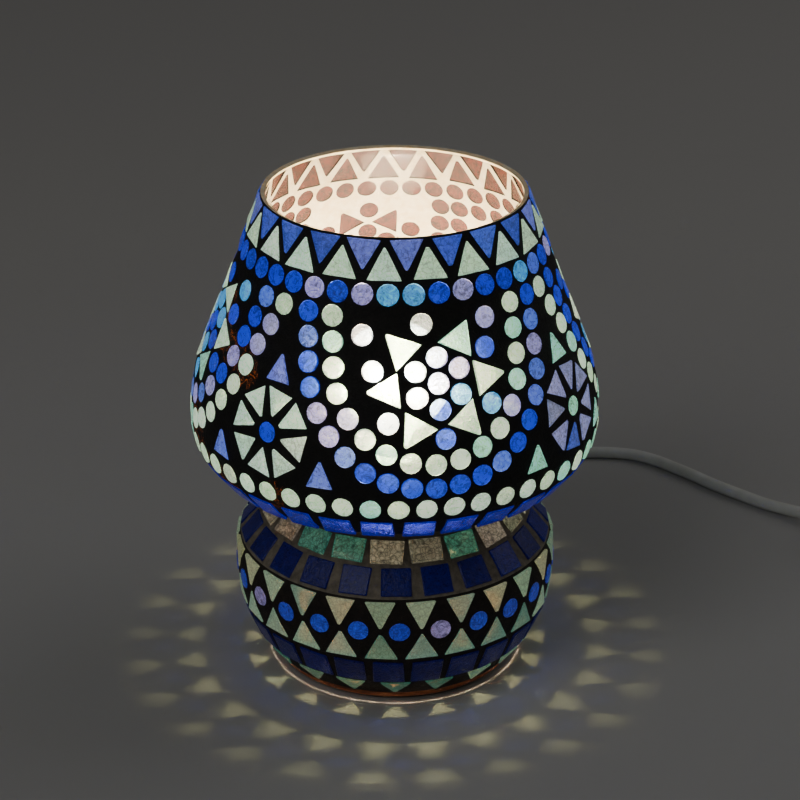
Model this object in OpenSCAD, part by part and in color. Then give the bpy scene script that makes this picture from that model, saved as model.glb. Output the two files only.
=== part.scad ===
// Mosaic glass table lamp: a one-piece glass shade and bowl, skinned with hand-cut glass
// pieces set in grout, over a wooden base with an upright candle lampholder and its bulb.
// Millimetres, +Z up. The origin is the centre of the foot, on the table.
// Round the lamp, 0 degrees faces -Y and angles grow towards +X. A place on the mosaic is
// [angle, s], where s is the distance up the outside surface from its lower edge.

/* [Glass body] */
// Thickness of the blown glass wall
glass_t = 2.5; // [1.5:0.1:3]
// Height of the whole lamp
lamp_h = 200; // [190:1:210]

/* [Mosaic] */
// Thickness of the coloured glass pieces
piece_t = 1.8; // [1.2:0.1:2]
// Bed of adhesive between the glass body and the middle of a piece
bed_t = 0.4; // [0.3:0.1:0.6]
// How far the grout stops below the middle of a piece's face
grout_low = 0.3; // [0.1:0.1:0.6]
// Diameter of the round pieces
disc_d = 8.4; // [7:0.1:8.5]
// Pieces in each triangle row of the rim
rim_n = 21; // [18:1:22]
// Round pieces in the collar under the rim
collar_n = 39; // [36:1:40]
// Round pieces in the hem, at the widest place
hem_n = 48; // [44:1:50]
// Blue squares under the shade
underside_n = 30; // [26:1:32]
// Pale tiles on the shoulder of the bowl
shoulder_n = 21; // [18:1:22]
// Blue squares in the bowl's upper row
upper_n = 23; // [20:1:24]
// Pieces in each row of the zigzag band and in the lower squares
zigzag_n = 25; // [22:1:26]
// Triangles round the foot
foot_n = 20; // [18:1:22]

/* [Base and lampholder] */
// Radius of the wooden base disc
base_r = 50.2; // [49:0.1:50.4]
// Height of the upright metal tube's top
column_top = 34; // [32:1:36]
// Outside radius of the lampholder
holder_r = 14.5; // [13.5:0.1:15]

/* [Bulb] */
// Diameter of the bulb's globe
globe_d = 45; // [42:0.5:46]
// Height of the globe's centre
globe_z = 120; // [118:0.5:122]

/* [Cord] */
// Diameter of the round cord
cord_d = 5.5; // [5:0.1:6]

/* [Hidden] */
$fn = 64;
STEPS = 3;
ROUND = 180;

// --- the surface that carries the mosaic ---------------------------------------------------
// Outline of the mosaic's face, [radius, height] as shares of the lamp's height of 200
outline = [
    [48.5, 0], [58.5, 14], [65.2, 38], [64, 53], [54, 66], [48.4, 73.6], [47.6, 77],
    [56, 80.4], [68.5, 85], [80.8, 100], [81.3, 117], [67, 160], [52, 200]
];
tall = lamp_h / 200;
keys = [for (p = outline) [p[0], p[1] * tall]];
last_key = len(keys) - 1;

// Sum of the first n values of a list
function sum_to(v, n) = n <= 0 ? 0 : v[n - 1] + sum_to(v, n - 1);
// Running distance along a list of points
function runs(path) =
    let (steps = [for (i = [1:len(path) - 1]) norm(path[i] - path[i - 1])])
    [for (i = 0, d = 0; i < len(path); d = d + (i < len(steps) ? steps[i] : 0), i = i + 1) d];
// Slope of a smooth curve through the points of a path at point i
key_run = runs(keys);
function slope(i) =
    i == 0 ? (keys[1] - keys[0]) / key_run[1] :
    i == last_key ? (keys[i] - keys[i - 1]) / (key_run[i] - key_run[i - 1]) :
    let (a = key_run[i] - key_run[i - 1], b = key_run[i + 1] - key_run[i])
    ((keys[i] - keys[i - 1]) / a * b + (keys[i + 1] - keys[i]) / b * a) / (a + b);
// Point at share u of the way from outline point i to the next, on a cubic through both
function between(i, u) =
    let (h = key_run[i + 1] - key_run[i])
    (2 * u ^ 3 - 3 * u ^ 2 + 1) * keys[i] + (u ^ 3 - 2 * u ^ 2 + u) * h * slope(i)
    + (3 * u ^ 2 - 2 * u ^ 3) * keys[i + 1] + (u ^ 3 - u ^ 2) * h * slope(i + 1);
wall = concat([for (i = [0:last_key - 1], k = [0:STEPS - 1]) between(i, k / STEPS)], [keys[last_key]]);
wall_run = runs(wall);
wall_end = wall_run[len(wall) - 1];
r_table = [for (i = [0:len(wall) - 1]) [wall_run[i], wall[i][0]]];
z_table = [for (i = [0:len(wall) - 1]) [wall_run[i], wall[i][1]]];
function wall_r(s) = lookup(s, r_table);
function wall_z(s) = lookup(s, z_table);
// Angle of the surface's outward normal above the horizontal
function tilt(s) = atan2(wall_r(s - 1) - wall_r(s + 1), wall_z(s + 1) - wall_z(s - 1));
// Point at depth d inside the mosaic's face, [radius, height]
function inward(s, d) = [wall_r(s) - d * cos(tilt(s)), wall_z(s) - d * sin(tilt(s))];
// Angle round the lamp that a width of x mm takes at s
function turn_of(x, s) = x / wall_r(s) * 180 / PI;

// Depth of the glass body's outside under the mosaic's face, of its inside, and of the grout's
outer_d = piece_t + bed_t;
inner_d = outer_d + glass_t;
// s of the glass body's lower edge, and the places where one colour of grout meets the next
foot_s = 5.5;
grout_marks = [foot_s, 30.3, 58.4, 87.5, 136, 208.75, 234.1];

// --- rows of the mosaic --------------------------------------------------------------------
// Puts a flat piece with its face up at [angle, s], its Y axis up the wall, turned by spin
module place(angle, s, spin = 0) {
    rotate([0, 0, angle]) translate([0, -wall_r(s), wall_z(s)]) rotate([90 - tilt(s), 0, 0])
        rotate([0, 0, spin]) translate([0, 0, -piece_t]) linear_extrude(piece_t) children();
}
module disc(d = disc_d) {
    circle(d = d);
}
// Triangle with its apex up, w wide and h tall, centred on its height; the apex is nipped off
module wedge(w, h) {
    polygon([[-w / 2, -h / 2], [w / 2, -h / 2], [0.5, h / 2], [-0.5, h / 2]]);
}
module tile(w, h) {
    square([w, h], center = true);
}
// A ring of n pieces at s, the first at angle start, without the one whose number is skip
module ring(n, s, start, skip = -1) {
    for (i = [0:n - 1]) if (i != skip) place(start + i * 360 / n, s) children();
}

// The foot triangle at the back that gives way to the cord
cord_exit_i = 10;
module foot_triangles() {
    color("teal") ring(foot_n, 11.1, 0, cord_exit_i) rotate(180) wedge(12.6, 9);
}
module lower_squares() {
    color("navy") ring(zigzag_n, 22.6, -2.5) tile(12.5, 12.6);
}
module zigzag_lower_triangles() {
    color("paleturquoise") ring(zigzag_n, 37.3, -5) wedge(13.6, 12);
}
module zigzag_upper_triangles() {
    color("paleturquoise") ring(zigzag_n, 51.6, -5.2) rotate(180) wedge(12.4, 11.6);
}
module diamond_discs() {
    color("royalblue") ring(zigzag_n, 44.5, 1.6) disc();
}
module upper_squares() {
    color("midnightblue") ring(upper_n, 65.4, 0.4) tile(12, 11.6);
}
module shoulder_tiles() {
    color("darkseagreen") ring(shoulder_n, 77.5, -3.6) tile(13.2, 9.6);
}
module underside_tiles() {
    color("mediumblue") ring(underside_n, 117.8, -5) tile(12.6, 13);
}
module hem_discs() {
    color("azure") ring(hem_n, 131.5, 1) disc();
}
module collar_discs() {
    color("cornflowerblue") ring(collar_n, 213.3, -2.4) disc();
}
module rim_aqua_triangles() {
    color("honeydew") ring(rim_n, 224.6, -3.9) wedge(13.6, 12.2);
}
module rim_blue_triangles() {
    color("slateblue") ring(rim_n, 228, 4.7) rotate(180) wedge(13, 11.4);
}

// --- the four panels and the four wheels between them --------------------------------------
// Angle of each panel's middle and of each wheel's hub
panels = [11, 103.3, 189.9, 276.5];
wheels = [-37.2, 59.7, 147.6, 232.2];
// s of a wheel's hub, of a rosette's middle, and of the level above which the arches' limbs are straight
hub_s = 155.7;
rosette_s = 180;
limb_s = 182.7;
limb_top = 204.2;
// How far each rosette sits to the right of its panel's middle
rosette_x = [2.7, 1.5, 0, 1.5];
// Half-width, depth and squareness of the inner and the outer arch: a squareness of 2 is an ellipse
inner_arch = [36.7, 33, 2];
outer_arch = [47, 42.5, 2.1];
// How wide the arches of each panel are, and how far each limb's top leans out, as shares
arch_w = [1, 0.88, 0.86, 0.88];
arch_lean = [0.975, 1.115, 0.975, 1.115];
// Least distance between the middles of two round pieces of an arch
arch_pitch = 9;

// Outline of panel k's U: down the left limb, round a superellipse, and up the right limb, as [x, s]
function u_path(k, size) =
    let (w = size[0] * arch_w[k], top = w * arch_lean[k], power = 2 / size[2])
    concat(
        [[-top, limb_top]],
        [for (a = [180:3:360]) [w * sign(cos(a)) * abs(cos(a)) ^ power, limb_s - size[1] * abs(sin(a)) ^ power]],
        [[top, limb_top]]
    );
// Points spread evenly along a path, as many as the least distance between them allows
function spread(path, pitch) =
    let (d = runs(path), whole = d[len(d) - 1], gaps = floor(whole / pitch),
         xs = [for (i = [0:len(path) - 1]) [d[i], path[i][0]]],
         ys = [for (i = [0:len(path) - 1]) [d[i], path[i][1]]])
    [for (i = [0:gaps]) [lookup(i * whole / gaps, xs), lookup(i * whole / gaps, ys)]];

// Round pieces of the arch of one size in panel k
module arch(k, size) {
    for (p = spread(u_path(k, size), arch_pitch)) place(panels[k] + turn_of(p[0], p[1]), p[1]) disc();
}
// A piece at x, y from a motif's middle at [angle, s], turned by spin
module near(a, s, x, y, spin = 0) {
    place(a + turn_of(x, s + y), s + y, spin) children();
}
module arch_aqua_discs() {
    color("honeydew") {
        for (k = [0, 2]) arch(k, inner_arch);
        for (k = [1, 3]) arch(k, outer_arch);
    }
}
module arch_blue_discs() {
    color("royalblue") {
        for (k = [0, 2]) arch(k, outer_arch);
        for (k = [1, 3]) arch(k, inner_arch);
    }
}
// Radii of the rosette's inner discs, triangles and outer discs, its two corner discs, and the
// width and height of its triangles
rosette_r = [9.7, 19, 21.4];
rosette_corners = [[-25.5, 18.2], [20.5, 21.6]];
rosette_wedge = [13, 11];
// The front rosette is larger and less even: [direction, radius] of each triangle, their size,
// and [x, y] of its outer and corner discs
front_star = [[0, 20.9], [60, 19.6], [134.6, 20.3], [186.5, 21], [239.7, 21.3], [305, 19.7]];
front_wedge = [14.2, 12.3];
front_discs = [
    [19.5, 10.7], [-5, 22.3], [-24.3, 5], [-19.8, -14.1], [1.3, -20.8], [20.6, -10.2], [-27.3, 18.2], [20.5, 21.6]
];
function ray(angle, r) = [r * cos(angle), r * sin(angle)];
// The back panel is too narrow for the corner discs
function outer_discs(i) =
    i == 0 ? front_discs
    : concat([for (k = [0:5]) ray(30 + 60 * k, rosette_r[2])], i == 2 ? [] : rosette_corners);
function star(i) = i == 0 ? front_star : [for (k = [0:5]) [60 * k, rosette_r[1]]];
module rosette_discs() {
    color("lightcyan") for (i = [0:3]) {
        near(panels[i], rosette_s, rosette_x[i], 0) disc();
        inner = [for (k = [0:5]) ray(30 + 60 * k, rosette_r[0])];
        for (p = concat(inner, outer_discs(i))) near(panels[i], rosette_s, rosette_x[i] + p[0], p[1]) disc();
    }
}
module rosette_triangles() {
    color("honeydew") for (i = [0:3], t = star(i)) {
        at = ray(t[0], t[1]);
        size = i == 0 ? front_wedge : rosette_wedge;
        near(panels[i], rosette_s, rosette_x[i] + at[0], at[1], t[0] - 90) wedge(size[0], size[1]);
    }
}
// Eight triangles with their apexes towards the hub; the wheels at the back are smaller
wheel_share = [1, 1, 0.86, 0.86];
wheel_r = 11.7;
wheel_phase = -10;
module wheel_triangles(i) {
    for (k = [0:7]) {
        turn = wheel_phase + 45 * k;
        r = wheel_r * wheel_share[i];
        near(wheels[i], hub_s, r * cos(turn), r * sin(turn), turn + 90) scale(wheel_share[i]) wedge(11.4, 10.6);
    }
}
module wheel_aqua_triangles() {
    color("honeydew") for (i = [0, 2]) wheel_triangles(i);
}
module wheel_blue_triangles() {
    color("lightslategray") for (i = [1, 3]) wheel_triangles(i);
}
module wheel_hubs() {
    color("cornflowerblue") for (i = [0:3]) place(wheels[i], hub_s) disc(8 * wheel_share[i]);
}
// Three upright triangles round each wheel, as [x, y] from its hub
spandrels = [[0, 25], [-25.4, -12.4], [24, -11.8]];
module spandrel_triangles() {
    color("slateblue") for (i = [0:3], p = spandrels) {
        near(wheels[i], hub_s, p[0] * wheel_share[i], p[1]) scale(wheel_share[i]) wedge(11, 10.8);
    }
}

// --- glass body and grout ------------------------------------------------------------------
// Places on the wall at which grout band k has a corner, without its upper end
function band(k) =
    let (low = grout_marks[k], high = grout_marks[k + 1])
    concat([low], [for (s = wall_run) if (s > low + 0.3 && s < high - 0.3) s]);
// Outline of a layer between two depths at the places given, as a closed [radius, height] loop
function layer(places, d0, d1) =
    concat([for (s = places) inward(s, d0)], [for (i = [len(places) - 1:-1:0]) inward(places[i], d1)]);

last_band = len(grout_marks) - 2;
grout_top = grout_marks[last_band + 1];

exit_z = 9;
exit_bore = 4.3;
module exit_hole() {
    translate([0, 35, exit_z]) rotate([-90, 0, 0]) cylinder(r = exit_bore, h = 40);
}
module glass_body() {
    color("white", 0.4) difference() {
        rotate_extrude($fn = ROUND)
            polygon(layer(concat([for (k = [0:last_band]) each band(k)], [grout_top, wall_end]), outer_d, inner_d));
        exit_hole();
    }
}
module grout(k) {
    color([0.1, 0.08, 0.07]) difference() {
        rotate_extrude($fn = ROUND)
            polygon(layer(concat(band(k), [grout_marks[k + 1]]), grout_low, outer_d));
        children();
    }
}
module grout_foot() {
    grout(0) {
        foot_triangles();
        lower_squares();
        exit_hole();
    }
}
module grout_zigzag() {
    grout(1) {
        zigzag_lower_triangles();
        zigzag_upper_triangles();
        diamond_discs();
    }
}
module grout_shoulder() {
    grout(2) {
        upper_squares();
        shoulder_tiles();
    }
}
module grout_underside() {
    grout(3) {
        underside_tiles();
        hem_discs();
    }
}
module grout_panels() {
    grout(4) {
        arch_aqua_discs();
        arch_blue_discs();
        rosette_discs();
        rosette_triangles();
        wheel_aqua_triangles();
        wheel_blue_triangles();
        wheel_hubs();
        spandrel_triangles();
    }
}
module grout_rim() {
    grout(5) {
        collar_discs();
        rim_aqua_triangles();
        rim_blue_triangles();
    }
}
// --- wooden base ---------------------------------------------------------------------------
pad_t = 1.5;
pad_r = 46.5;
base_floor = 5.4;
spigot_r = 44;
spigot_top = 12;
screw_circle = 13.5;
slot_w = 12;
module felt_pad() {
    color("dimgray") cylinder(r = pad_r, h = pad_t);
}
module base_disc() {
    color("sienna") difference() {
        union() {
            translate([0, 0, pad_t]) cylinder(r = base_r - 0.4, h = base_floor - pad_t);
            translate([0, 0, base_floor - 1]) cylinder(r = spigot_r, h = spigot_top - base_floor + 1);
        }
        translate([-slot_w / 2, 20, exit_z - 5.4]) cube([slot_w, 40, 20]);
        for (a = [90, 210, 330]) rotate(a) translate([screw_circle, 0, 4]) cylinder(r = 1.55, h = 20);
    }
}
// Upright metal tube with a foot flange; the wires come in through its side
tube_r = 8;
tube_wall = 1.2;
flange_t = 2.5;
nipple_r = 5;
lead_in_z = 22;
module column() {
    color("gainsboro") difference() {
        union() {
            translate([0, 0, spigot_top]) cylinder(r = 18, h = flange_t);
            translate([0, 0, spigot_top]) cylinder(r = tube_r, h = column_top - spigot_top);
        }
        translate([0, 0, spigot_top - 1]) cylinder(r = tube_r - tube_wall, h = column_top - spigot_top - 1);
        translate([0, 0, column_top - 5]) cylinder(r = nipple_r + 0.05, h = 10);
        translate([0, 3, lead_in_z]) rotate([-90, 0, 0]) cylinder(r = 3.6, h = 10);
        for (a = [90, 210, 330]) rotate(a) translate([screw_circle, 0, spigot_top - 1]) cylinder(r = 1.8, h = 10);
    }
}
module column_screws() {
    color("silver") for (a = [90, 210, 330]) rotate(a) translate([screw_circle, 0, 0]) difference() {
        union() {
            translate([0, 0, 5.5]) cylinder(r = 1.5, h = spigot_top + flange_t - 5.5);
            translate([0, 0, spigot_top + flange_t]) cylinder(r1 = 3.1, r2 = 2.4, h = 1.8);
        }
        translate([-4, -0.4, spigot_top + flange_t + 1]) cube([8, 0.8, 3]);
    }
}
nipple_top = column_top + 6;
module nipple() {
    color("goldenrod") translate([0, 0, column_top - 7]) difference() {
        cylinder(r = nipple_r, h = nipple_top - column_top + 7);
        translate([0, 0, -1]) cylinder(r = 3.6, h = 30);
    }
}
module nipple_nuts() {
    color("goldenrod") {
        translate([0, 0, column_top - 5.5]) nut(6.6, 3.4);
        translate([0, 0, column_top + 3.1]) nut(8, 2.6);
    }
}
module nut(corner_r, h) {
    difference() {
        cylinder(r = corner_r, h = h, $fn = 6);
        translate([0, 0, -1]) cylinder(r = nipple_r + 0.05, h = h + 2);
    }
}

// --- lampholder ----------------------------------------------------------------------------
block_z = 50;
block_top = 61;
holder_top = 88;
cap_rim = 52;
module holder_cap() {
    color("white") rotate_extrude() polygon([
        [nipple_r + 0.05, column_top], [12, column_top], [holder_r, column_top + 5], [holder_r, cap_rim],
        [holder_r - 1.8, cap_rim], [holder_r - 1.8, column_top + 5], [11, column_top + 3],
        [nipple_r + 0.05, column_top + 3]
    ]);
}
module terminal_block() {
    color("ivory") difference() {
        translate([0, 0, block_z]) cylinder(r = holder_r - 2.1, h = block_top - block_z);
        for (x = [-7.5, 7.5]) translate([x, 0, block_z - 1]) cylinder(r = 1.05, h = 7);
        translate([0, 0, block_top - 4]) cylinder(r = 1.25, h = 5);
    }
}
module terminal_screws() {
    color("silver") for (x = [-7.5, 7.5]) translate([x, 0, block_z]) {
        cylinder(r = 1, h = 5.5);
        translate([0, 0, -1.6]) cylinder(r = 1.9, h = 1.6);
    }
}
module holder_shell() {
    color("white") rotate_extrude() polygon([
        [holder_r - 1.8, cap_rim], [holder_r, cap_rim], [holder_r - 0.7, holder_top - 2],
        [holder_r - 1.7, holder_top], [8.3, holder_top], [8.3, holder_top - 2], [holder_r - 2.6, holder_top - 2]
    ]);
}
sleeve_r = 7;
module screw_sleeve() {
    color("silver") rotate_extrude() polygon([
        [sleeve_r, block_top], [holder_r - 3, block_top], [holder_r - 3, block_top + 0.6],
        [sleeve_r + 0.4, block_top + 0.6], [sleeve_r + 0.4, holder_top - 2.6], [sleeve_r, holder_top - 2.6]
    ]);
}
contact_top = 64.3;
module centre_contact() {
    color("goldenrod") {
        translate([0, 0, block_top - 4]) cylinder(r = 1.2, h = contact_top - block_top + 3.5);
        translate([0, 0, contact_top - 0.8]) cylinder(r = 2.6, h = 0.8);
    }
}

// --- wires inside --------------------------------------------------------------------------
// Unit vector
function unit(v) = v / norm(v);
// One flat ring of a tube at point i of its route; ref is square to no part of the route
function tube_ring(route, i, r, sides, ref) =
    let (t = unit(route[min(i + 1, len(route) - 1)] - route[max(i - 1, 0)]),
         a = unit(cross(ref, t)), b = cross(t, a))
    [for (k = [0:sides - 1]) route[i] + r * (cos(360 * k / sides) * a + sin(360 * k / sides) * b)];
// A round tube swept along a route, closed by a flat face at each end
module sweep(route, r, ref, sides = 8) {
    last = len(route) - 1;
    points = [for (i = [0:last]) each tube_ring(route, i, r, sides, ref)];
    sidewalls = [for (i = [0:last - 1], k = [0:sides - 1])
        let (n = (k + 1) % sides) [i * sides + k, (i + 1) * sides + k, (i + 1) * sides + n, i * sides + n]];
    start = [for (k = [0:sides - 1]) k];
    finish = [for (k = [sides - 1:-1:0]) last * sides + k];
    polyhedron(points, concat(sidewalls, [start, finish]));
}
gland_in = 44;
lead_route = [
    [0, gland_in, exit_z], [0, 39, 9.2], [0, 34, 10.2], [0, 28, 12.6], [0, 22, 15.6], [0, 19.5, 17]
];
module inner_lead() {
    color("whitesmoke") sweep(lead_route, cord_d / 2, [1, 0, 0]);
}
core_r = 1.1;
// The live and the neutral core, from the sheath's end up through the nipple to the terminals
module core_wires() {
    route = [
        [1.25, 19.5, 17], [1.25, 16, 19.2], [1.25, 12.5, 21.3], [1.25, 8, 22.6], [1.25, 4, 24],
        [1.25, 1.4, 27], [1.25, 0, 31], [1.4, 0, 40], [2.6, 0, 44], [4, 0, 47], [4.2, 0, block_z]
    ];
    color("saddlebrown") sweep(route, core_r, [1, 0, 0]);
    color("dodgerblue") mirror([1, 0, 0]) sweep(route, core_r, [1, 0, 0]);
}

// --- bulb ----------------------------------------------------------------------------------
cap_r = 6.93;
cap_z = 66.5;
tip_z = contact_top + 0.1;
neck_r = 6.5;
// Outline of the bulb's glass at a depth inside its outside, from its neck to its crown
function globe_line(d) = concat(
    [[neck_r - d, 86], [neck_r - d, 92.2], [8 - d, 97]],
    [for (a = [-60:7.5:82.5]) [(globe_d / 2 - d) * cos(a), globe_z + (globe_d / 2 - d) * sin(a)]],
    [[0, globe_z + globe_d / 2 - d]]
);
module bulb_globe() {
    outside = globe_line(0);
    inside = globe_line(0.7);
    color("lightyellow", 0.5) rotate_extrude()
        polygon(concat(outside, [for (i = [len(inside) - 1:-1:0]) inside[i]]));
}
module bulb_cap() {
    color("silver") rotate_extrude() polygon([
        [4.3, cap_z], [5, cap_z], [cap_r, cap_z + 2.5], [cap_r, 90], [7.4, 92], [6.6, 92], [6.6, cap_z + 3],
        [4.3, cap_z + 0.5]
    ]);
}
module bulb_insulator() {
    color("black") difference() {
        translate([0, 0, tip_z + 0.6]) cylinder(r1 = 3, r2 = 4.25, h = 3);
        translate([0, 0, tip_z - 1]) cylinder(r = 2.2, h = 2.5);
    }
}
module bulb_contact() {
    color("gainsboro") translate([0, 0, tip_z]) cylinder(r = 2.2, h = 1.5);
}
stem_top = 112;
module bulb_stem() {
    color("lightcyan", 0.6) {
        translate([0, 0, 88]) cylinder(r1 = 5.6, r2 = 2, h = 8);
        translate([0, 0, 96]) cylinder(r = 2, h = stem_top - 96);
    }
}
module bulb_filament() {
    color("gold") {
        for (x = [-8, 8]) translate([x / 2, 0, stem_top]) rotate([0, atan2(x / 2, globe_z - stem_top), 0])
            cylinder(r = 0.3, h = norm([x / 2, globe_z - stem_top]));
        translate([-8, 0, globe_z]) rotate([0, 90, 0]) cylinder(r = 0.6, h = 16);
    }
}

// --- cord, coil, switch and plug -----------------------------------------------------------
gland_out = 90;
module cord_gland() {
    color("white") rotate([-90, 0, 0]) translate([0, -exit_z, 0]) rotate_extrude() polygon([
        [0, gland_in], [4.2, gland_in], [4.2, 60], [6, 60], [6, 62.5], [5, 62.5], [3.5, gland_out], [0, gland_out]
    ]);
}
lie = cord_d / 2;
// The inline switch: its middle, its heading, and its outside
switch_at = [226, 70];
switch_turn = -40;
switch_l = 62;
switch_w = 26;
switch_h = 15;
switch_split = 6.5;
shell_t = 1.8;
heading = [cos(switch_turn), sin(switch_turn)];
// Point in the switch's own frame, as a point on the table
function on_switch(x, z) = [switch_at[0] + x * heading[0], switch_at[1] + x * heading[1], z];
cord_route = [
    [0, gland_out, exit_z], [0.5, 98, 8.4], [3, 108, 6.2], [8, 119, 3.8], [15, 131, lie], [25, 142, lie],
    [37, 151, lie], [51, 158, lie], [66, 163, lie], [81, 166.5, lie], [95, 168.5, lie], [106, 168, lie],
    [116, 165.5, lie], [125, 160, lie], [133, 152.5, lie], [141, 144.5, lie], [150, 134.5, lie], [160, 125, lie],
    [172, 114.5, lie], [186, 103.5, 4], on_switch(shell_t - switch_l / 2, switch_split)
];
module cord_run() {
    color("whitesmoke") sweep(cord_route, cord_d / 2, [0, 0, 1]);
}
// A round coil of seven turns, two under three under two, raised by the tie that passes below it
coil_at = [255, 3];
coil_r = 30.25;
tie_t = 0.8;
bundle_h = cord_d * (1 + sqrt(3));
module cord_coil() {
    color("whitesmoke") translate([coil_at[0], coil_at[1], tie_t]) rotate_extrude() polygon([
        [coil_r - cord_d, 0], [coil_r + cord_d, 0], [coil_r + 1.5 * cord_d, bundle_h / 2],
        [coil_r + cord_d, bundle_h], [coil_r - cord_d, bundle_h], [coil_r - 1.5 * cord_d, bundle_h / 2]
    ]);
}
coil_in = [276.2, 28.3, lie + tie_t];
tail_route = [on_switch(switch_l / 2 - shell_t, switch_split), on_switch(42, 5), on_switch(54, 4), coil_in];
module cord_tail() {
    color("whitesmoke") sweep(tail_route, cord_d / 2, [0, 0, 1]);
}
plug_y = -14;
plug_x = 301;
plug_t = 13;
end_route = [
    [278, 30.4, 8.3], [285, 24.6, 8], [291.5, 18.4, 7.2], [296.8, 10.8, 6.6], [300, 2, plug_t / 2],
    [301, -6, plug_t / 2], [plug_x, plug_y, plug_t / 2]
];
module cord_end() {
    color("whitesmoke") sweep(end_route, cord_d / 2, [0, 0, 1]);
}
tie_turn = -40;
module coil_tie() {
    inside = [3 * cord_d + 0.4, bundle_h + 0.2];
    color("white") translate([coil_at[0], coil_at[1], 0]) rotate(tie_turn) translate([coil_r, 0, 0]) difference() {
        translate([-inside[0] / 2 - tie_t, -1.5, 0]) cube([inside[0] + 2 * tie_t, 3, inside[1] + 2 * tie_t - 0.1]);
        translate([-inside[0] / 2, -5, tie_t - 0.1]) cube([inside[0], 10, inside[1]]);
    }
}
plug_w = 26;
pin_r = 2;
pin_l = 19;
pin_gap = 18.6;
plug_mid = plug_y - 16;
plug_end = plug_y - 38;
module plug_body() {
    color("white") {
        translate([plug_x, 0, 0]) linear_extrude(plug_t) polygon([
            [-6, plug_mid], [-plug_w / 2, plug_end + 12], [-plug_w / 2, plug_end], [plug_w / 2, plug_end],
            [plug_w / 2, plug_end + 12], [6, plug_mid]
        ]);
        translate([plug_x, plug_y, plug_t / 2]) rotate([90, 0, 0]) cylinder(r1 = 3.4, r2 = 5, h = plug_y - plug_mid + 1);
    }
}
module plug_pins() {
    color("silver") for (x = [-pin_gap / 2, pin_gap / 2])
        translate([plug_x + x, plug_end, plug_t / 2]) rotate([90, 0, 0]) cylinder(r = pin_r, h = pin_l);
}
module at_switch() {
    translate([switch_at[0], switch_at[1], 0]) rotate(switch_turn) children();
}
// Rectangle with round corners
module pill(l, w, r) {
    square([l - 2 * r, w], center = true);
    square([l, w - 2 * r], center = true);
    for (x = [-1, 1], y = [-1, 1]) translate([x * (l / 2 - r), y * (w / 2 - r)]) circle(r);
}
pivot_z = 10.5;
pivot_r = 1.1;
rocker_w = 12;
post_y = 8.4;
opening_l = 21.8;
screw_x = 22;
screw_y = 8;
module cord_holes() {
    translate([-switch_l, 0, switch_split]) rotate([0, 90, 0]) cylinder(r = cord_d / 2 + 0.1, h = 2 * switch_l);
}
module switch_base() {
    color("white") at_switch() difference() {
        union() {
            difference() {
                linear_extrude(switch_split) pill(switch_l, switch_w, 8);
                translate([0, 0, shell_t]) linear_extrude(switch_split)
                    pill(switch_l - 2 * shell_t, switch_w - 2 * shell_t, 8 - shell_t);
            }
            for (y = [-post_y, post_y]) translate([-2.5, y - 1, 1]) cube([5, 2, 11.5]);
            for (k = [-1, 1]) translate([k * screw_x, k * screw_y, 1]) cylinder(r = 2.6, h = switch_split - 1);
        }
        cord_holes();
        translate([0, -12, pivot_z]) rotate([-90, 0, 0]) cylinder(r = pivot_r + 0.05, h = 24);
        for (k = [-1, 1]) translate([k * screw_x, k * screw_y, -1]) {
            cylinder(r = 1.05, h = 20);
            cylinder(r = 2.3, h = 2.2);
        }
    }
}
module switch_cover() {
    color("white") at_switch() difference() {
        union() {
            difference() {
                translate([0, 0, switch_split]) linear_extrude(switch_h - switch_split) pill(switch_l, switch_w, 8);
                translate([0, 0, switch_split - 1]) linear_extrude(switch_h - switch_split - shell_t + 1)
                    pill(switch_l - 2 * shell_t, switch_w - 2 * shell_t, 8 - shell_t);
            }
            for (k = [-1, 1]) translate([k * screw_x, k * screw_y, switch_split]) cylinder(r = 2.6, h = 8);
        }
        cord_holes();
        translate([-opening_l / 2, -rocker_w / 2 - 0.4, switch_h - 5]) cube([opening_l, rocker_w + 0.8, 10]);
        for (k = [-1, 1]) translate([k * screw_x, k * screw_y, 0]) cylinder(r = 1.05, h = 12);
    }
}
module switch_screws() {
    color("silver") at_switch() for (k = [-1, 1]) translate([k * screw_x, k * screw_y, 0.2]) {
        cylinder(r = 1, h = 10);
        cylinder(r = 2.1, h = 1);
    }
}
module switch_contacts() {
    color("goldenrod") at_switch() for (x = [-9, 9]) translate([x - 2, -2, shell_t]) cube([4, 4, 3.4]);
}
rocker_tilt = 9;
module switch_rocker() {
    color("white") at_switch() translate([0, 0, pivot_z]) rotate([0, rocker_tilt, 0]) {
        rotate([90, 0, 0]) translate([0, 0, -rocker_w / 2]) linear_extrude(rocker_w) polygon([
            [-9.8, 5], [0, 3.6], [9.8, 5], [9.8, 0.6], [3, -2.4], [-3, -2.4], [-9.8, 0.6]
        ]);
        translate([0, -post_y - 1, 0]) rotate([-90, 0, 0]) cylinder(r = pivot_r, h = 2 * post_y + 2);
    }
}

glass_body();
grout_foot();
grout_zigzag();
grout_shoulder();
grout_underside();
grout_panels();
grout_rim();
foot_triangles();
lower_squares();
zigzag_lower_triangles();
zigzag_upper_triangles();
diamond_discs();
upper_squares();
shoulder_tiles();
underside_tiles();
hem_discs();
collar_discs();
rim_aqua_triangles();
rim_blue_triangles();
arch_aqua_discs();
arch_blue_discs();
rosette_discs();
rosette_triangles();
wheel_aqua_triangles();
wheel_blue_triangles();
wheel_hubs();
spandrel_triangles();
felt_pad();
base_disc();
column();
column_screws();
nipple();
nipple_nuts();
holder_cap();
terminal_block();
terminal_screws();
holder_shell();
screw_sleeve();
centre_contact();
inner_lead();
core_wires();
bulb_globe();
bulb_cap();
bulb_insulator();
bulb_contact();
bulb_stem();
bulb_filament();
cord_gland();
cord_run();
cord_tail();
cord_coil();
cord_end();
coil_tie();
plug_body();
plug_pins();
switch_base();
switch_cover();
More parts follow.
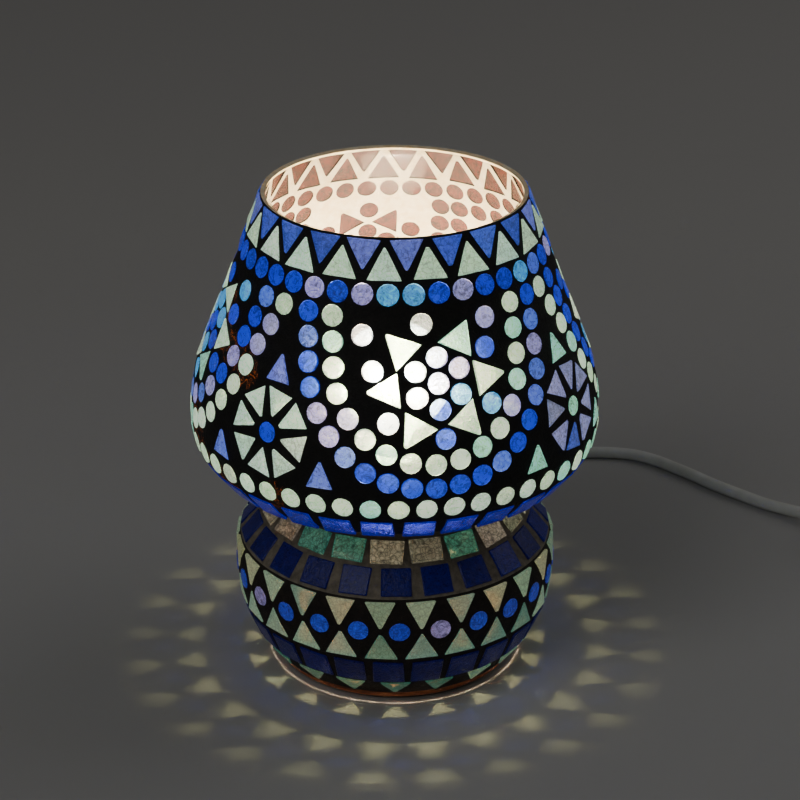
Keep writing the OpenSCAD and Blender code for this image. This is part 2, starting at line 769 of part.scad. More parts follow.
switch_screws();
switch_contacts();
switch_rocker();
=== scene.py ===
# %% [markdown]
# # A mosaic glass table lamp
# The lamp is one blown glass shell, a shade and a bowl with a narrow waist between them. Hand-cut
# pieces of coloured glass are stuck on it and the gaps are filled with grout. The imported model
# comes first as a fixed frame: every surface made here is placed from its nodes, in its metres.

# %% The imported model
import math

import bmesh
import bpy
import numpy as np
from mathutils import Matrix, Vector
from mathutils.geometry import delaunay_2d_cdt


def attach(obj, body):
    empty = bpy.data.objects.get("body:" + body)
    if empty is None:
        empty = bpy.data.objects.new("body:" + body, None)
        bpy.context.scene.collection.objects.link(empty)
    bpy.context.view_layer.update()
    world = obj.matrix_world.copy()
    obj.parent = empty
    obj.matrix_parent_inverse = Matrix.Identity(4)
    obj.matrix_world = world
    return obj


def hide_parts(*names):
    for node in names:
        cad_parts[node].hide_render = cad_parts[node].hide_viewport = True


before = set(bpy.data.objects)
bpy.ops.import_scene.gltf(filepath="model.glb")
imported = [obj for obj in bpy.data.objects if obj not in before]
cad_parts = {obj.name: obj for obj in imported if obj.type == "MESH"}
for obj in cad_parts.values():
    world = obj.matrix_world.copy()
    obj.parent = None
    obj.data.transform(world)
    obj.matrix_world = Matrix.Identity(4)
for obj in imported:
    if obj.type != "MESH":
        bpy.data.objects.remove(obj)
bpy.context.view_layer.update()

MM = 0.001
dice = np.random.default_rng(41)

# %% [markdown]
# ## Camera
# A lamp on a table is looked at from a little above. A long lens from about a metre away keeps the
# rim and the foot nearly the same scale, so the camera is placed by its eye and the point it aims at.

# %% Camera
eye, aim = Vector((0, -0.873, 0.519)), Vector((0.0021, 0, 0.1098))
camera = bpy.data.objects.new("camera", bpy.data.cameras.new("camera"))
bpy.context.collection.objects.link(camera)
camera.data.sensor_width = 36
camera.data.lens = 108
camera.location = eye
camera.rotation_mode = "QUATERNION"
camera.rotation_quaternion = (aim - eye).to_track_quat("-Z", "Y")
bpy.context.scene.camera = camera
print("camera to aim", round((aim - eye).length, 3), "m")

# %% [markdown]
# ## Surfaces from arrays
# Nearly every piece is a grid of points: rows along one parameter, columns along the other. A few
# helpers carry the whole lesson. They number the grid's four-sided faces, put points and faces into a
# mesh object, draw a smooth line through a few chosen points, and carry a ring along a line or round
# an axis. Whole arrays are quicker than loops, and a formula is easier to change than a drawn shape.


# %% Helpers for meshes
def quads(rows, columns, loop=False):
    """Corners of a grid's faces, points numbered row by row: [r, c], [r, c+1], [r+1, c+1], [r+1, c].
    The last column joins the first, and loop joins the last row to the first."""
    r, c = np.meshgrid(np.arange(rows if loop else rows - 1), np.arange(columns), indexing="ij")
    below, right = (r + 1) % rows, (c + 1) % columns
    corners = [r * columns + c, r * columns + right, below * columns + right, below * columns + c]
    return np.stack(corners, -1).reshape(-1, 4)


def make(name, points, faces, body="root", smooth=40, tidy=False):
    """A mesh object from points in millimetres and arrays of corner numbers, one row a face.
    Edges sharper than smooth degrees stay crisp. tidy merges doubles and turns every face outwards."""
    mesh = bpy.data.meshes.new(name)
    faces = [np.asarray(f) for f in faces if len(f)]
    corners = np.concatenate([f.ravel() for f in faces])
    sides = np.concatenate([np.full(len(f), f.shape[1]) for f in faces])
    mesh.vertices.add(len(points))
    mesh.vertices.foreach_set("co", (np.asarray(points, float) * MM).ravel())
    mesh.loops.add(len(corners))
    mesh.loops.foreach_set("vertex_index", corners.astype(np.int32))
    mesh.polygons.add(len(sides))
    mesh.polygons.foreach_set("loop_start", (np.cumsum(sides) - sides).astype(np.int32))
    mesh.update(calc_edges=True)
    if tidy:
        work = bmesh.new()
        work.from_mesh(mesh)
        bmesh.ops.remove_doubles(work, verts=work.verts, dist=1e-6)
        bmesh.ops.recalc_face_normals(work, faces=work.faces)
        work.to_mesh(mesh)
        work.free()
    mesh.shade_smooth()
    mesh.set_sharp_from_angle(angle=math.radians(smooth))
    piece = bpy.data.objects.new(name, mesh)
    bpy.context.collection.objects.link(piece)
    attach(piece, body)
    return piece


def smooth_line(points, steps):
    """A cubic between neighbours a and b, h apart, for u from 0 to 1: (2u3 - 3u2 + 1) a + (u3 - 2u2 + u) h A
    + (3u2 - 2u3) b + (u3 - u2) h B. A and B are the mean slopes of the two chords that meet there, and
    the shorter chord counts for more."""
    p = np.asarray(points, float)
    h = np.linalg.norm(np.diff(p, axis=0), axis=1)[:, None]
    chord = np.diff(p, axis=0) / h
    slope = np.vstack([chord[:1], (chord[:-1] * h[1:] + chord[1:] * h[:-1]) / (h[1:] + h[:-1]), chord[-1:]])
    u, a, b, h = np.arange(steps)[None, :, None] / steps, p[:-1, None], p[1:, None], h[:, None]
    start = (2 * u**3 - 3 * u**2 + 1) * a + (u**3 - 2 * u**2 + u) * h * slope[:-1, None]
    finish = (3 * u**2 - 2 * u**3) * b + (u**3 - u**2) * h * slope[1:, None]
    return np.vstack([(start + finish).reshape(-1, p.shape[1]), p[-1:]])


def length_along(path):
    """Running sum of the distances between neighbours."""
    return np.r_[0, np.cumsum(np.linalg.norm(np.diff(path, axis=0), axis=1))]


def tube(name, path, radius, sides=14):
    """A round tube: path + radius (cos a side + sin a up), where side is level and square to the path.
    radius is one number or one for each point of the path."""
    path = np.asarray(path, float)
    along = np.gradient(path, axis=0)
    along /= np.linalg.norm(along, axis=1)[:, None]
    side = np.cross(along, [0, 0, 1])
    side /= np.linalg.norm(side, axis=1)[:, None]
    up = np.cross(side, along)
    a = (np.arange(sides) / sides * 2 * np.pi)[None, :, None]
    radius = np.broadcast_to(radius, len(path))[:, None, None]
    points = path[:, None] + radius * (np.cos(a) * side[:, None] + np.sin(a) * up[:, None])
    ends = np.array([np.arange(sides), np.arange(sides)[::-1] + (len(path) - 1) * sides])
    return make(name, points.reshape(-1, 3), [quads(len(path), sides), ends], tidy=True)


def turned(name, outline, around, body="root"):
    """A lathe: each [radius, height] of a closed outline becomes (r sin a, -r cos a, z) for a round turn."""
    outline = np.asarray(outline, float)
    a = np.arange(around) / around * 2 * np.pi
    r, z = outline[:, :1], np.repeat(outline[:, 1:], around, 1)
    points = np.stack([r * np.sin(a), -r * np.cos(a), z], -1).reshape(-1, 3)
    return make(name, points, [quads(len(outline), around, loop=True)], body, tidy=True)


print("helpers: quads, make, smooth_line, length_along, tube, turned")

# %% [markdown]
# ## Cord
# A light two-core lead leaves the wooden base at the back, lies on the table, goes through a
# switch, and its spare length is wound in a coil that ends in the plug. The lead is a tube carried
# along a line. In the coil, the bundle's places are [half widths out, layer] in the order that one
# strand fills them, and it moves to the next place over about a quarter of a turn.

# %% The route of the lead
CORD_D = 5.5
LIE = CORD_D / 2
SWITCH_AT, SWITCH_TURN = np.array([226.0, 70.0]), math.radians(-40)
HEADING = np.array([math.cos(SWITCH_TURN), math.sin(SWITCH_TURN)])


def by_switch(x, z):
    """A point x mm along the switch from its middle, at height z."""
    return [*(SWITCH_AT + x * HEADING), z]


lead_route = [
    [0, 90, 9], [0.5, 98, 8.4], [3, 108, 6.2], [8, 119, 3.8], [15, 131, LIE], [25, 142, LIE],
    [37, 151, LIE], [51, 158, LIE], [66, 163, LIE], [81, 166.5, LIE], [95, 168.5, LIE],
    [106, 168, LIE], [116, 165.5, LIE], [125, 160, LIE], [133, 152.5, LIE], [141, 144.5, LIE],
    [150, 134.5, LIE], [160, 125, LIE], [172, 114.5, LIE], [186, 103.5, 4], by_switch(-29.2, 6.5),
]
COIL_AT, COIL_R, TIE_T = np.array([255.0, 3.0]), 30.25, 0.8
COIL_START = math.radians(50)
PLACES = np.array([[0.5, 0], [-0.5, 0], [-1, 1], [0, 1], [-0.5, 2], [0.5, 2], [1, 1], [1.5, 0]])
TURNS = len(PLACES) - 1
LAYER, LOOSE_LAYER = 0.866, 1.05
MOVE, LEAD = 0.24, 0.1
TIED, RISE = 0.1, 0.15


def ease(x):
    """0 below 0, 1 above 1, and 3x2 - 2x3 between."""
    x = np.clip(x, 0, 1)
    return x * x * (3 - 2 * x)


def coil_line(per_turn=72):
    """Clockwise turns about the coil's middle. After t turns the strand is in place p, the sum over its
    moves of (1 - cos(pi share of the move done)) / 2. The last strand moves first, so that each place is
    free when the next strand takes it. The layers are tight for a share TIED of each turn, and looser
    where strands move."""
    t = np.arange(TURNS * per_turn + 1) / per_turn
    starts = np.array([k + 1 - MOVE - LEAD * k for k in range(TURNS)])
    p = (0.5 - 0.5 * np.cos(np.pi * np.clip((t[:, None] - starts) / MOVE, 0, 1))).sum(1)
    out = np.interp(p, np.arange(TURNS + 1), PLACES[:, 0])
    layer = np.interp(p, np.arange(TURNS + 1), PLACES[:, 1])
    share = t % 1
    loose = np.maximum(ease((share - TIED) / RISE), 1 - ease(share / TIED))
    angle = COIL_START - 2 * np.pi * t
    r = COIL_R + out * CORD_D
    z = TIE_T + LIE + layer * CORD_D * (LAYER + (LOOSE_LAYER - LAYER) * loose)
    return np.stack([COIL_AT[0] + r * np.cos(angle), COIL_AT[1] + r * np.sin(angle), z], -1)


coil = coil_line()
tail_route = smooth_line([by_switch(29.2, 6.5), by_switch(42, 5), by_switch(54, 4), coil[0]], 8)
end_route = smooth_line(
    [coil[-1], [286.5, 25.4, 3.8], [292.5, 17.4, 4.6], [297.2, 9.5, 5.6], [300, 1, 6.5], [301, -7, 6.5],
     [301, -15, 6.5]], 6,
)
lead_line = smooth_line(lead_route, 6)
spare_line = np.vstack([tail_route[:-1], coil, end_route[1:]])
print("lead", round(length_along(lead_line)[-1]), "mm, spare", round(length_along(spare_line)[-1]), "mm")

# %% [markdown]
# One stretch runs from the lamp to the switch, and the other from the switch to the plug. They are
# tubes and not curve objects, so that their rings are even and their length is exactly the line's.

# %% The two stretches of lead
lead = tube("lead_to_switch", lead_line, CORD_D / 2)
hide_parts("cord_run")
spare = tube("lead_coil_and_end", spare_line, CORD_D / 2)
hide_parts("cord_tail", "cord_coil", "cord_end")
for piece in (lead, spare):
    print(piece.name, len(piece.data.polygons), "faces")

# %% [markdown]
# ## Shader helper
# A material is a small formula of where a point is. Sockets are wrapped in a class, so that sums and
# products of values are written as in Python and become Math nodes. Any other node comes from one
# method that takes its type, its settings and its inputs.


# %% Sockets as numbers, and finishes
class Value:
    """A socket's value. + - * < and > add a Math node, with a number or another Value on either side."""

    def __init__(self, finish, socket):
        self.finish, self.socket = finish, socket

    def _math(self, operation, first, second):
        """operation of the first and the second, as one Math node."""
        return self.finish.node("ShaderNodeMath", {"operation": operation}, {0: first, 1: second})

    def __add__(self, other):
        return self._math("ADD", self, other)

    def __sub__(self, other):
        return self._math("SUBTRACT", self, other)

    def __rsub__(self, other):
        return self._math("SUBTRACT", other, self)

    def __mul__(self, other):
        return self._math("MULTIPLY", self, other)

    def __lt__(self, other):
        return self._math("LESS_THAN", self, other)

    def __gt__(self, other):
        return self._math("GREATER_THAN", self, other)

    __radd__, __rmul__ = __add__, __mul__


def linear(*rgb):
    """Screen colour of 0 to 255 as the linear share that a shader works with: ((c + 0.055) / 1.055) ** 2.4,
    or c / 12.92 where it is very dark."""
    c = np.asarray(rgb, float) / 255
    return np.where(c < 0.04045, c / 12.92, ((c + 0.055) / 1.055) ** 2.4)


def opaque(*rgb):
    """Screen colour of 0 to 255 as linear red, green and blue, with an alpha of 1."""
    return (*linear(*rgb), 1)


BLACK = opaque(0, 0, 0)


class Finish:
    """A node material with one Principled shader. Its constants are given as socket names and values."""

    def __init__(self, name, colour=(200, 200, 200), **constants):
        self.material = bpy.data.materials.new(name)
        self.material.use_nodes = True
        self.tree = self.material.node_tree
        self.shader = self.tree.nodes["Principled BSDF"]
        self.shader.inputs["Base Color"].default_value = opaque(*colour)
        for socket, value in constants.items():
            self.shader.inputs[socket.replace("_", " ")].default_value = value

    def node(self, kind, settings=None, inputs=None, out=0):
        """Any node: settings first, then each input's link or value. A ramp's stops are one setting."""
        made = self.tree.nodes.new(kind)
        for key, value in (settings or {}).items():
            if key == "stops":
                ramp = made.color_ramp.elements
                while len(ramp) < len(value):
                    ramp.new(0.5)
                for stop, (place, colour) in zip(ramp, value):
                    stop.position, stop.color = place, opaque(*colour)
            else:
                setattr(made, key, value)
        for key, value in (inputs or {}).items():
            if isinstance(value, Value):
                self.tree.links.new(value.socket, made.inputs[key])
            else:
                made.inputs[key].default_value = value
        return Value(self, made.outputs[out])

    def place(self, scale=(1, 1, 1)):
        """Object coordinates, in metres, stretched by scale."""
        at = self.node("ShaderNodeTexCoord", out=3)
        return self.node("ShaderNodeMapping", None, {0: at, 3: scale})

    def noise(self, scale, detail=3.0, place=None, swirl=0.0):
        """Clouds of 0 to 1, of a size of 1 / scale metres."""
        return self.node(
            "ShaderNodeTexNoise", None,
            {"Vector": place or self.place(), "Scale": scale, "Detail": detail, "Roughness": 0.55,
             "Distortion": swirl},
        )

    def cells(self, scale, feature="F1"):
        """Distance to the nearest of many scattered points, or to the edge between two of their cells."""
        inputs = {"Vector": self.place(), "Scale": scale}
        return self.node("ShaderNodeTexVoronoi", {"feature": feature}, inputs)

    def ramp(self, value, *stops):
        """The colour at value on a line of (place, colour) stops."""
        return self.node("ShaderNodeValToRGB", {"stops": stops}, {0: value})

    def mix(self, share, a, b, blend="MIX"):
        """Colour a changed towards b by a share."""
        return self.node(
            "ShaderNodeMix", {"data_type": "RGBA", "blend_type": blend}, {0: share, 6: a, 7: b}, out=2
        )

    def between(self, value, low, high):
        """low + value (high - low)."""
        return value * (high - low) + low

    def feed(self, socket, value):
        """Links a value to a socket of the shader."""
        self.tree.links.new(value.socket, self.shader.inputs[socket])

    def bump(self, height, depth, strength=0.6):
        """Tilts the surface's normal by a height of 0 to 1, which stands for depth metres."""
        tilt = {"Strength": strength, "Distance": depth, "Height": height}
        self.feed("Normal", self.node("ShaderNodeBump", None, tilt))

    def on(self, *pieces):
        """Puts the finish on pieces or CAD nodes, by changing their material slots only."""
        for piece in pieces:
            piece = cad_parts[piece] if isinstance(piece, str) else piece
            if not piece.data.materials:
                piece.data.materials.append(self.material)
            for slot in piece.material_slots:
                slot.material = self.material


print("mid grey is", round(float(linear(128)[0]), 3), "in a shader")

# %% [markdown]
# ## Lead, switch and plug
# Cable sheath is soft white plastic with a faint orange-peel skin. The switch and plug are moulded in
# the same white, a little glossier, with every outside edge rounded.

# %% White plastics
sheath = Finish("cord_pvc", (226, 226, 220), Roughness=0.42, Coat_Weight=0.1)
sheath.bump(sheath.noise(1400), 0.0001, 0.4)
sheath.feed("Roughness", sheath.between(sheath.noise(260), 0.34, 0.52))
sheath.feed("Base Color", sheath.ramp(sheath.noise(60), (0.35, (216, 215, 208)), (0.65, (232, 232, 227))))
sheath.on(lead, spare, "inner_lead")

moulded = Finish("white_plastic", (228, 228, 224), Roughness=0.3, Coat_Weight=0.2)
moulded.bump(moulded.noise(2600), 0.00006, 0.5)
moulded.feed("Roughness", moulded.between(moulded.noise(180), 0.24, 0.4))
moulded.feed("Base Color", moulded.ramp(moulded.noise(45), (0.3, (219, 219, 213)), (0.7, (233, 233, 229))))
print("plastics", sheath.material.name, moulded.material.name)

# %% [markdown]
# A CAD solid has knife-sharp edges, and a moulding never has. A copy of the node's mesh is merged,
# its flat regions are joined, and a Bevel modifier rounds what is left. That keeps the design's exact
# size, where a new mesh would have to repeat it.

# %% Softened copies of CAD solids
SAME_CORNER, FLAT, SHARP = 0.002, math.radians(1), math.radians(30)


def softened(name, node, width, body="root", finish=moulded, segments=3):
    """A copy of a CAD node, merged, with its edges over 30 degrees rounded to width mm."""
    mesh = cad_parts[node].data.copy()
    work = bmesh.new()
    work.from_mesh(mesh)
    bmesh.ops.remove_doubles(work, verts=work.verts, dist=SAME_CORNER * MM)
    bmesh.ops.dissolve_limit(work, angle_limit=FLAT, verts=work.verts, edges=work.edges)
    work.to_mesh(mesh)
    work.free()
    piece = bpy.data.objects.new(name, mesh)
    bpy.context.collection.objects.link(piece)
    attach(piece, body)
    mesh.shade_smooth()
    mesh.set_sharp_from_angle(angle=SHARP)
    bevel = piece.modifiers.new("soft edges", "BEVEL")
    bevel.width, bevel.segments, bevel.limit_method = width * MM, segments, "ANGLE"
    bevel.angle_limit, bevel.use_clamp_overlap, bevel.harden_normals = SHARP, True, True
    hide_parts(node)
    finish.on(piece)
    return piece


switch_base = softened("switch_lower_shell", "switch_base", 0.5)
switch_cover = softened("switch_upper_shell", "switch_cover", 0.9)
switch_rocker = softened("switch_rocker_cap", "switch_rocker", 0.35, "rocker")
tie = softened("coil_tie_band", "coil_tie", 0.25)
print("rounded", switch_base.name, switch_cover.name, switch_rocker.name, tie.name)

# %% [markdown]
# The plug's body goes from a round neck, ribbed so that it can bend, to a wide flat grip. A
# superellipse |x/w| ** n + |z/h| ** n = 1 covers both, with n growing from 2, an ellipse, to 4.

# %% Plug
PLUG_X, PLUG_Z, PLUG_AROUND = 301.0, 6.5, 40
RIB_DEPTH, RIB_PITCH, NECK_START, RIBS_FROM, RIBS_TO = 0.35, 3, -14, -29, -15
# Place along Y, half width, half height and n of a few sections
PLUG_STATIONS = np.array([
    [-14, 3.3, 3.3, 2], [-17, 3.6, 3.6, 2], [-20, 3.9, 3.9, 2], [-24, 4.3, 4.3, 2], [-29, 5.2, 4.9, 2.2],
    [-33, 8.4, 5.6, 2.6], [-37, 11.4, 6.1, 3], [-41, 12.7, 6.4, 3.4], [-47, 13, 6.5, 4], [-51, 12.9, 6.4, 4],
    [-52, 12.2, 5.7, 4],
])


def plug_body():
    """Rings (w sign(cos a) |cos a| ** (2/n), h sign(sin a) |sin a| ** (2/n)) at stations along -Y. On the
    neck, w and h are RIB_DEPTH more where a sine of y is above 0."""
    y, w, h, n = smooth_line(PLUG_STATIONS, 6).T[:, :, None]
    on_neck = (y > RIBS_FROM) * (y < RIBS_TO)
    ribs = RIB_DEPTH * (np.sin((y - NECK_START) * 2 * np.pi / RIB_PITCH) > 0) * on_neck
    a = np.arange(PLUG_AROUND) / PLUG_AROUND * 2 * np.pi
    x = (w + ribs) * np.sign(np.cos(a)) * np.abs(np.cos(a)) ** (2 / n)
    z = (h + ribs) * np.sign(np.sin(a)) * np.abs(np.sin(a)) ** (2 / n)
    points = np.stack([PLUG_X + x, y + 0 * a, PLUG_Z + z], -1)
    first = np.arange(PLUG_AROUND)
    ends = np.array([first, first[::-1] + (len(points) - 1) * PLUG_AROUND])
    faces = [quads(len(points), PLUG_AROUND), ends]
    return make("plug_grip", points.reshape(-1, 3), faces, smooth=50, tidy=True)


plug = plug_body()
moulded.on(plug)
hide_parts("plug_body")
print(plug.name, len(plug.data.vertices), "points")

# %% [markdown]
# Where the lead leaves the base, a soft boot stops it from bending sharply. It has a shank through the
# wood, a flange, and a taper with grooves cut round it, so it is a tube whose radius follows a profile.

# %% Strain relief
LEAD_HOLE_Z, GROOVE, GROOVE_PITCH = 9, 0.45, 3.4


def strain_relief():
    """Radius at y = a line from the shank to the flange and the taper, less GROOVE where a sine of y is
    above 0.2 on the taper."""
    y = np.linspace(44, 90, 139)
    r = np.interp(y, [44, 60, 60.3, 62.3, 62.6, 90], [4.2, 4.2, 6, 6, 5.05, 3.5])
    r -= GROOVE * (np.sin((y - 66) * 2 * np.pi / GROOVE_PITCH) > 0.2) * (y > 66) * (y < 87)
    return tube("strain_relief", np.stack([0 * y, y, 0 * y + LEAD_HOLE_Z], -1), r, 24)


gland = strain_relief()
sheath.on(gland)
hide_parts("cord_gland")
print(gland.name, len(gland.data.vertices), "points")

# %% [markdown]
# The two stretches of cord, and their length together in metres.

# %% Cords
print("cord", round((length_along(lead_line)[-1] + length_along(spare_line)[-1]) * MM, 2), "m in all")

# %% [markdown]
# ## The wall that carries the mosaic
# The lamp's outside is one outline turned about the axis. A place on it is an angle, 0 at the front
# and growing to the right, and s, the distance up the face in millimetres. Everything on the wall,
# the glass shell, the grout and the pieces, is worked out in angle, s and depth.

# %% The wall
# Radius and height of the outside, in millimetres, from the foot to the rim
OUTLINE = [
    [48.5, 0], [58.5, 14], [65.2, 38], [64, 53], [54, 66], [48.4, 73.6], [47.6, 77], [56, 80.4],
    [68.5, 85], [80.8, 100], [81.3, 117], [67, 160], [52, 200],
]
wall = smooth_line(OUTLINE, 48)
wall_s = length_along(wall)
slope = np.gradient(wall, wall_s, axis=0)
normal = np.stack([slope[:, 1], -slope[:, 0]], -1)
normal /= np.linalg.norm(normal, axis=1)[:, None]


def on_wall(angle, s, depth=0.0):
    """(r sin a, -r cos a, z), where r and z are the outline's at s, less depth times its normal."""
    r = np.interp(s, wall_s, wall[:, 0]) - depth * np.interp(s, wall_s, normal[:, 0])
    z = np.interp(s, wall_s, wall[:, 1]) - depth * np.interp(s, wall_s, normal[:, 1])
    return np.stack([r * np.sin(angle), -r * np.cos(angle), z], -1)


def to_wall(points):
    """Angle and s of the place on the wall that is nearest to each point."""
    flat = np.stack([np.hypot(points[:, 0], points[:, 1]), points[:, 2]], -1)
    near = ((flat[:, None] - wall[None, ::3]) ** 2).sum(-1).argmin(1) * 3
    s = wall_s[near] + ((flat - wall[near]) * slope[near]).sum(-1)
    return np.arctan2(points[:, 0], -points[:, 1]), s


print("wall", round(wall_s[-1], 1), "mm from foot to rim")

# %% [markdown]
# ## Reading the mosaic back from the model
# Each CAD node holds one kind of piece, many times over. Its loose triangles are merged, a label
# spreads from corner to corner until every solid has one, and each solid gives its own axes: out of
# the face, to the right along the wall, and up it.


# %% Splitting a node into its pieces
def solids_of(node):
    """Points of each separate solid of a CAD node, in millimetres. Corners within SAME_CORNER are one, and
    every corner takes the least label of the triangles that it is on until none changes."""
    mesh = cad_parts[node].data
    points = np.empty(len(mesh.vertices) * 3, np.float32)
    mesh.vertices.foreach_get("co", points)
    mesh.calc_loop_triangles()
    corners = np.empty(len(mesh.loop_triangles) * 3, np.int32)
    mesh.loop_triangles.foreach_get("vertices", corners)
    grid, index = np.unique(np.round(points.reshape(-1, 3) / MM / SAME_CORNER), axis=0, return_inverse=True)
    corners = index.ravel()[corners].reshape(-1, 3)
    label = np.arange(len(grid))
    while True:
        spread = label.copy()
        np.minimum.at(spread, corners.ravel(), np.repeat(label[corners].min(1), 3))
        if (spread == label).all():
            return [grid[label == k] * SAME_CORNER for k in np.unique(label)]
        label = spread


def axes_of(points):
    """Middle of the outer face, the axes right, up and out, and the face's corners on right and up.
    Out is the direction in which a flat piece's points vary least, away from the lamp's axis."""
    middle = points.mean(0)
    out = np.linalg.svd(points - middle, full_matrices=False)[2][2]
    out *= np.sign(out @ [middle[0], middle[1], 0])
    right = np.cross([0, 0, 1], out)
    right /= np.linalg.norm(right)
    up = np.cross(out, right)
    height = (points - middle) @ out
    top = points[height > 0]
    corners = np.stack([(top - middle) @ right, (top - middle) @ up], -1)
    centre = (corners.min(0) + corners.max(0)) / 2
    corners = corners - centre
    corners = corners[np.argsort(np.arctan2(corners[:, 1], corners[:, 0]))]
    return middle + centre @ [right, up] + out * height.max(), np.array([right, up, out]), corners


print("separate hem pieces", len(solids_of("hem_discs")))

# %% [markdown]
# ## Hand-cut glass
# A cutter never makes two pieces the same. A polygon's radius in direction f is the soft least
# distance to its edges, (sum over edges of (max(cos(f - a), 0) / d) ** p) ** (-1 / p), where an edge
# faces a at distance d. A large p gives nipped corners, and each edge's a and d vary a little.


# %% Outline of one piece
# K points are kept round a piece, from FINE ones on its formula
K, FINE = 16, 192
ROUND_FROM, SHORT_EDGE = 12, 0.05
NIP, TURN_WEIGHT = 34, 1.6


def mean_radius(line):
    """Mean distance of an outline's points from its middle."""
    return np.hypot(*line.T).mean()


def cut_outline(corners):
    """K points round a piece. One with over ROUND_FROM corners is a disc of radius r0 (1 + a little + 0.014
    cos 2(f - lean)). Another has the soft radius above, at even steps of distance plus turning, so that
    corners keep their points."""
    if len(corners) > ROUND_FROM:
        r0, lean = mean_radius(corners), dice.uniform(0, np.pi)
        f = np.arange(K) / K * 2 * np.pi
        r = r0 * (1.012 - 0.03 * dice.random() + 0.014 * np.cos(2 * (f - lean)) + dice.normal(0, 0.008, K))
        return np.stack([r * np.cos(f), r * np.sin(f)], -1)
    edge = np.roll(corners, -1, 0) - corners
    wide = np.hypot(*edge.T)
    long = wide > SHORT_EDGE
    edge, foot = edge[long] / wide[long, None], corners[long]
    out = np.stack([edge[:, 1], -edge[:, 0]], -1)
    d = (foot * out).sum(1) * (1.02 - 0.07 * dice.random(len(foot)))
    facing = np.arctan2(out[:, 1], out[:, 0]) + dice.normal(0, 0.022, len(foot))
    f = np.arange(FINE) / FINE * 2 * np.pi
    reach = (np.maximum(np.cos(f[:, None] - facing), 0) / d) ** NIP
    r = reach.sum(1) ** (-1 / NIP)
    line = np.stack([r * np.cos(f), r * np.sin(f)], -1)
    step = np.roll(line, -1, 0) - line
    heading = np.unwrap(np.arctan2(step[:, 1], step[:, 0]))
    turn = np.abs(np.diff(heading, append=heading[0] + 2 * np.pi))
    run = np.r_[0, np.cumsum(np.hypot(*step.T) + TURN_WEIGHT * turn * mean_radius(line))]
    want = np.arange(K) / K * run[-1]
    closed = np.vstack([line, line[:1]])
    return np.stack([np.interp(want, run, closed[:, 0]), np.interp(want, run, closed[:, 1])], -1)


print("points round a piece", K)

# %% [markdown]
# Each piece is a little tablet: a bottom, a side, a broken edge and a slightly domed face. All the
# pieces of a node share one mesh, with a tint for each piece kept in an attribute. The real pieces
# stand a hair above the grout, and their broken edges are what catches the light.

# %% Tablets
# Share of the outline and height, in millimetres, of a piece's bottom, side and broken edge
RINGS = np.array([[0.965, -1.75], [1.0, -0.42], [0.93, -0.02]])
DOME, HOLE_SHARE, HOLE_DEPTH = 0.1, 0.975, 0.3
PIECES = {}


def tablets(node):
    """All pieces of a node in one mesh: rings of K points, middle + outline * share + out * height, and one
    point DOME out in the middle. It also notes the outline of the hole that each piece leaves in grout."""
    made = [axes_of(p) for p in solids_of(node)]
    middle = np.array([m[0] for m in made])
    axes = np.array([m[1] for m in made])
    outline = np.array([cut_outline(m[2]) for m in made])
    n = len(made)
    flat = np.concatenate([outline[:, None] * RINGS[None, :, :1, None], np.zeros((n, 1, K, 2))], 1)
    level = np.r_[RINGS[:, 1], DOME]
    right, up, out = (axes[:, None, None, i] for i in range(3))
    points = middle[:, None, None] + flat[..., :1] * right + flat[..., 1:] * up
    points = points + level[None, :, None, None] * out
    points = np.concatenate([points[:, :3].reshape(n, -1, 3), points[:, 3, :1]], 1)
    base = (np.arange(n) * (3 * K + 1))[:, None, None]
    k, nxt = np.arange(K), (np.arange(K) + 1) % K
    fan = np.stack([2 * K + k, 2 * K + nxt, np.full(K, 3 * K)], -1)
    walls = (base + quads(3, K)).reshape(-1, 4)
    tops = (base + fan).reshape(-1, 3)
    bottoms = base[:, 0] + k[::-1]
    name = node.replace("_discs", "_rounds") + "_cut"
    piece = make(name, points.reshape(-1, 3), [walls, tops, bottoms], smooth=30)
    hole = middle[:, None] + HOLE_SHARE * (outline @ axes[:, :2]) - HOLE_DEPTH * axes[:, None, 2]
    angle, s = to_wall(hole.reshape(-1, 3))
    place = to_wall(middle)
    PIECES[node] = {
        "object": piece, "count": n, "angle": angle.reshape(n, K), "s": s.reshape(n, K),
        "at": np.degrees(place[0]), "level": place[1], "bottoms": len(walls) + len(tops),
    }
    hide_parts(node)


# The pieces of each grout band, from the foot to the rim
MOSAIC = {
    "grout_foot": ["foot_triangles", "lower_squares"],
    "grout_zigzag": ["zigzag_lower_triangles", "zigzag_upper_triangles", "diamond_discs"],
    "grout_shoulder": ["upper_squares", "shoulder_tiles"],
    "grout_underside": ["underside_tiles", "hem_discs"],
    "grout_panels": [
        "arch_aqua_discs", "arch_blue_discs", "rosette_discs", "rosette_triangles", "wheel_aqua_triangles",
        "wheel_blue_triangles", "wheel_hubs", "spandrel_triangles",
    ],
    "grout_rim": ["collar_discs", "rim_aqua_triangles", "rim_blue_triangles"],
}
for group in MOSAIC.values():
    for node in group:
        tablets(node)
print("pieces of glass", sum(p["count"] for p in PIECES.values()))

# %% [markdown]
# ## Tints
# The glass comes in a few stock colours, and each piece is a shade lighter or darker than the next.
# A node's usual colour is given first, then the colours of a few pieces at chosen angles. The colour
# is kept on the mesh, so one material serves all the pieces of a kind.

# %% Stock colours
AQUA, ICE, SKY, BLUE = (146, 226, 196), (206, 242, 204), (62, 162, 238), (16, 46, 204)
LILAC, HOT_SPOT_WHITE = (150, 146, 216), (240, 244, 240)
NAVY, ULTRA, TEAL, SAND, SAGE = (2, 8, 88), (6, 12, 168), (72, 150, 128), (150, 142, 120), (140, 190, 152)


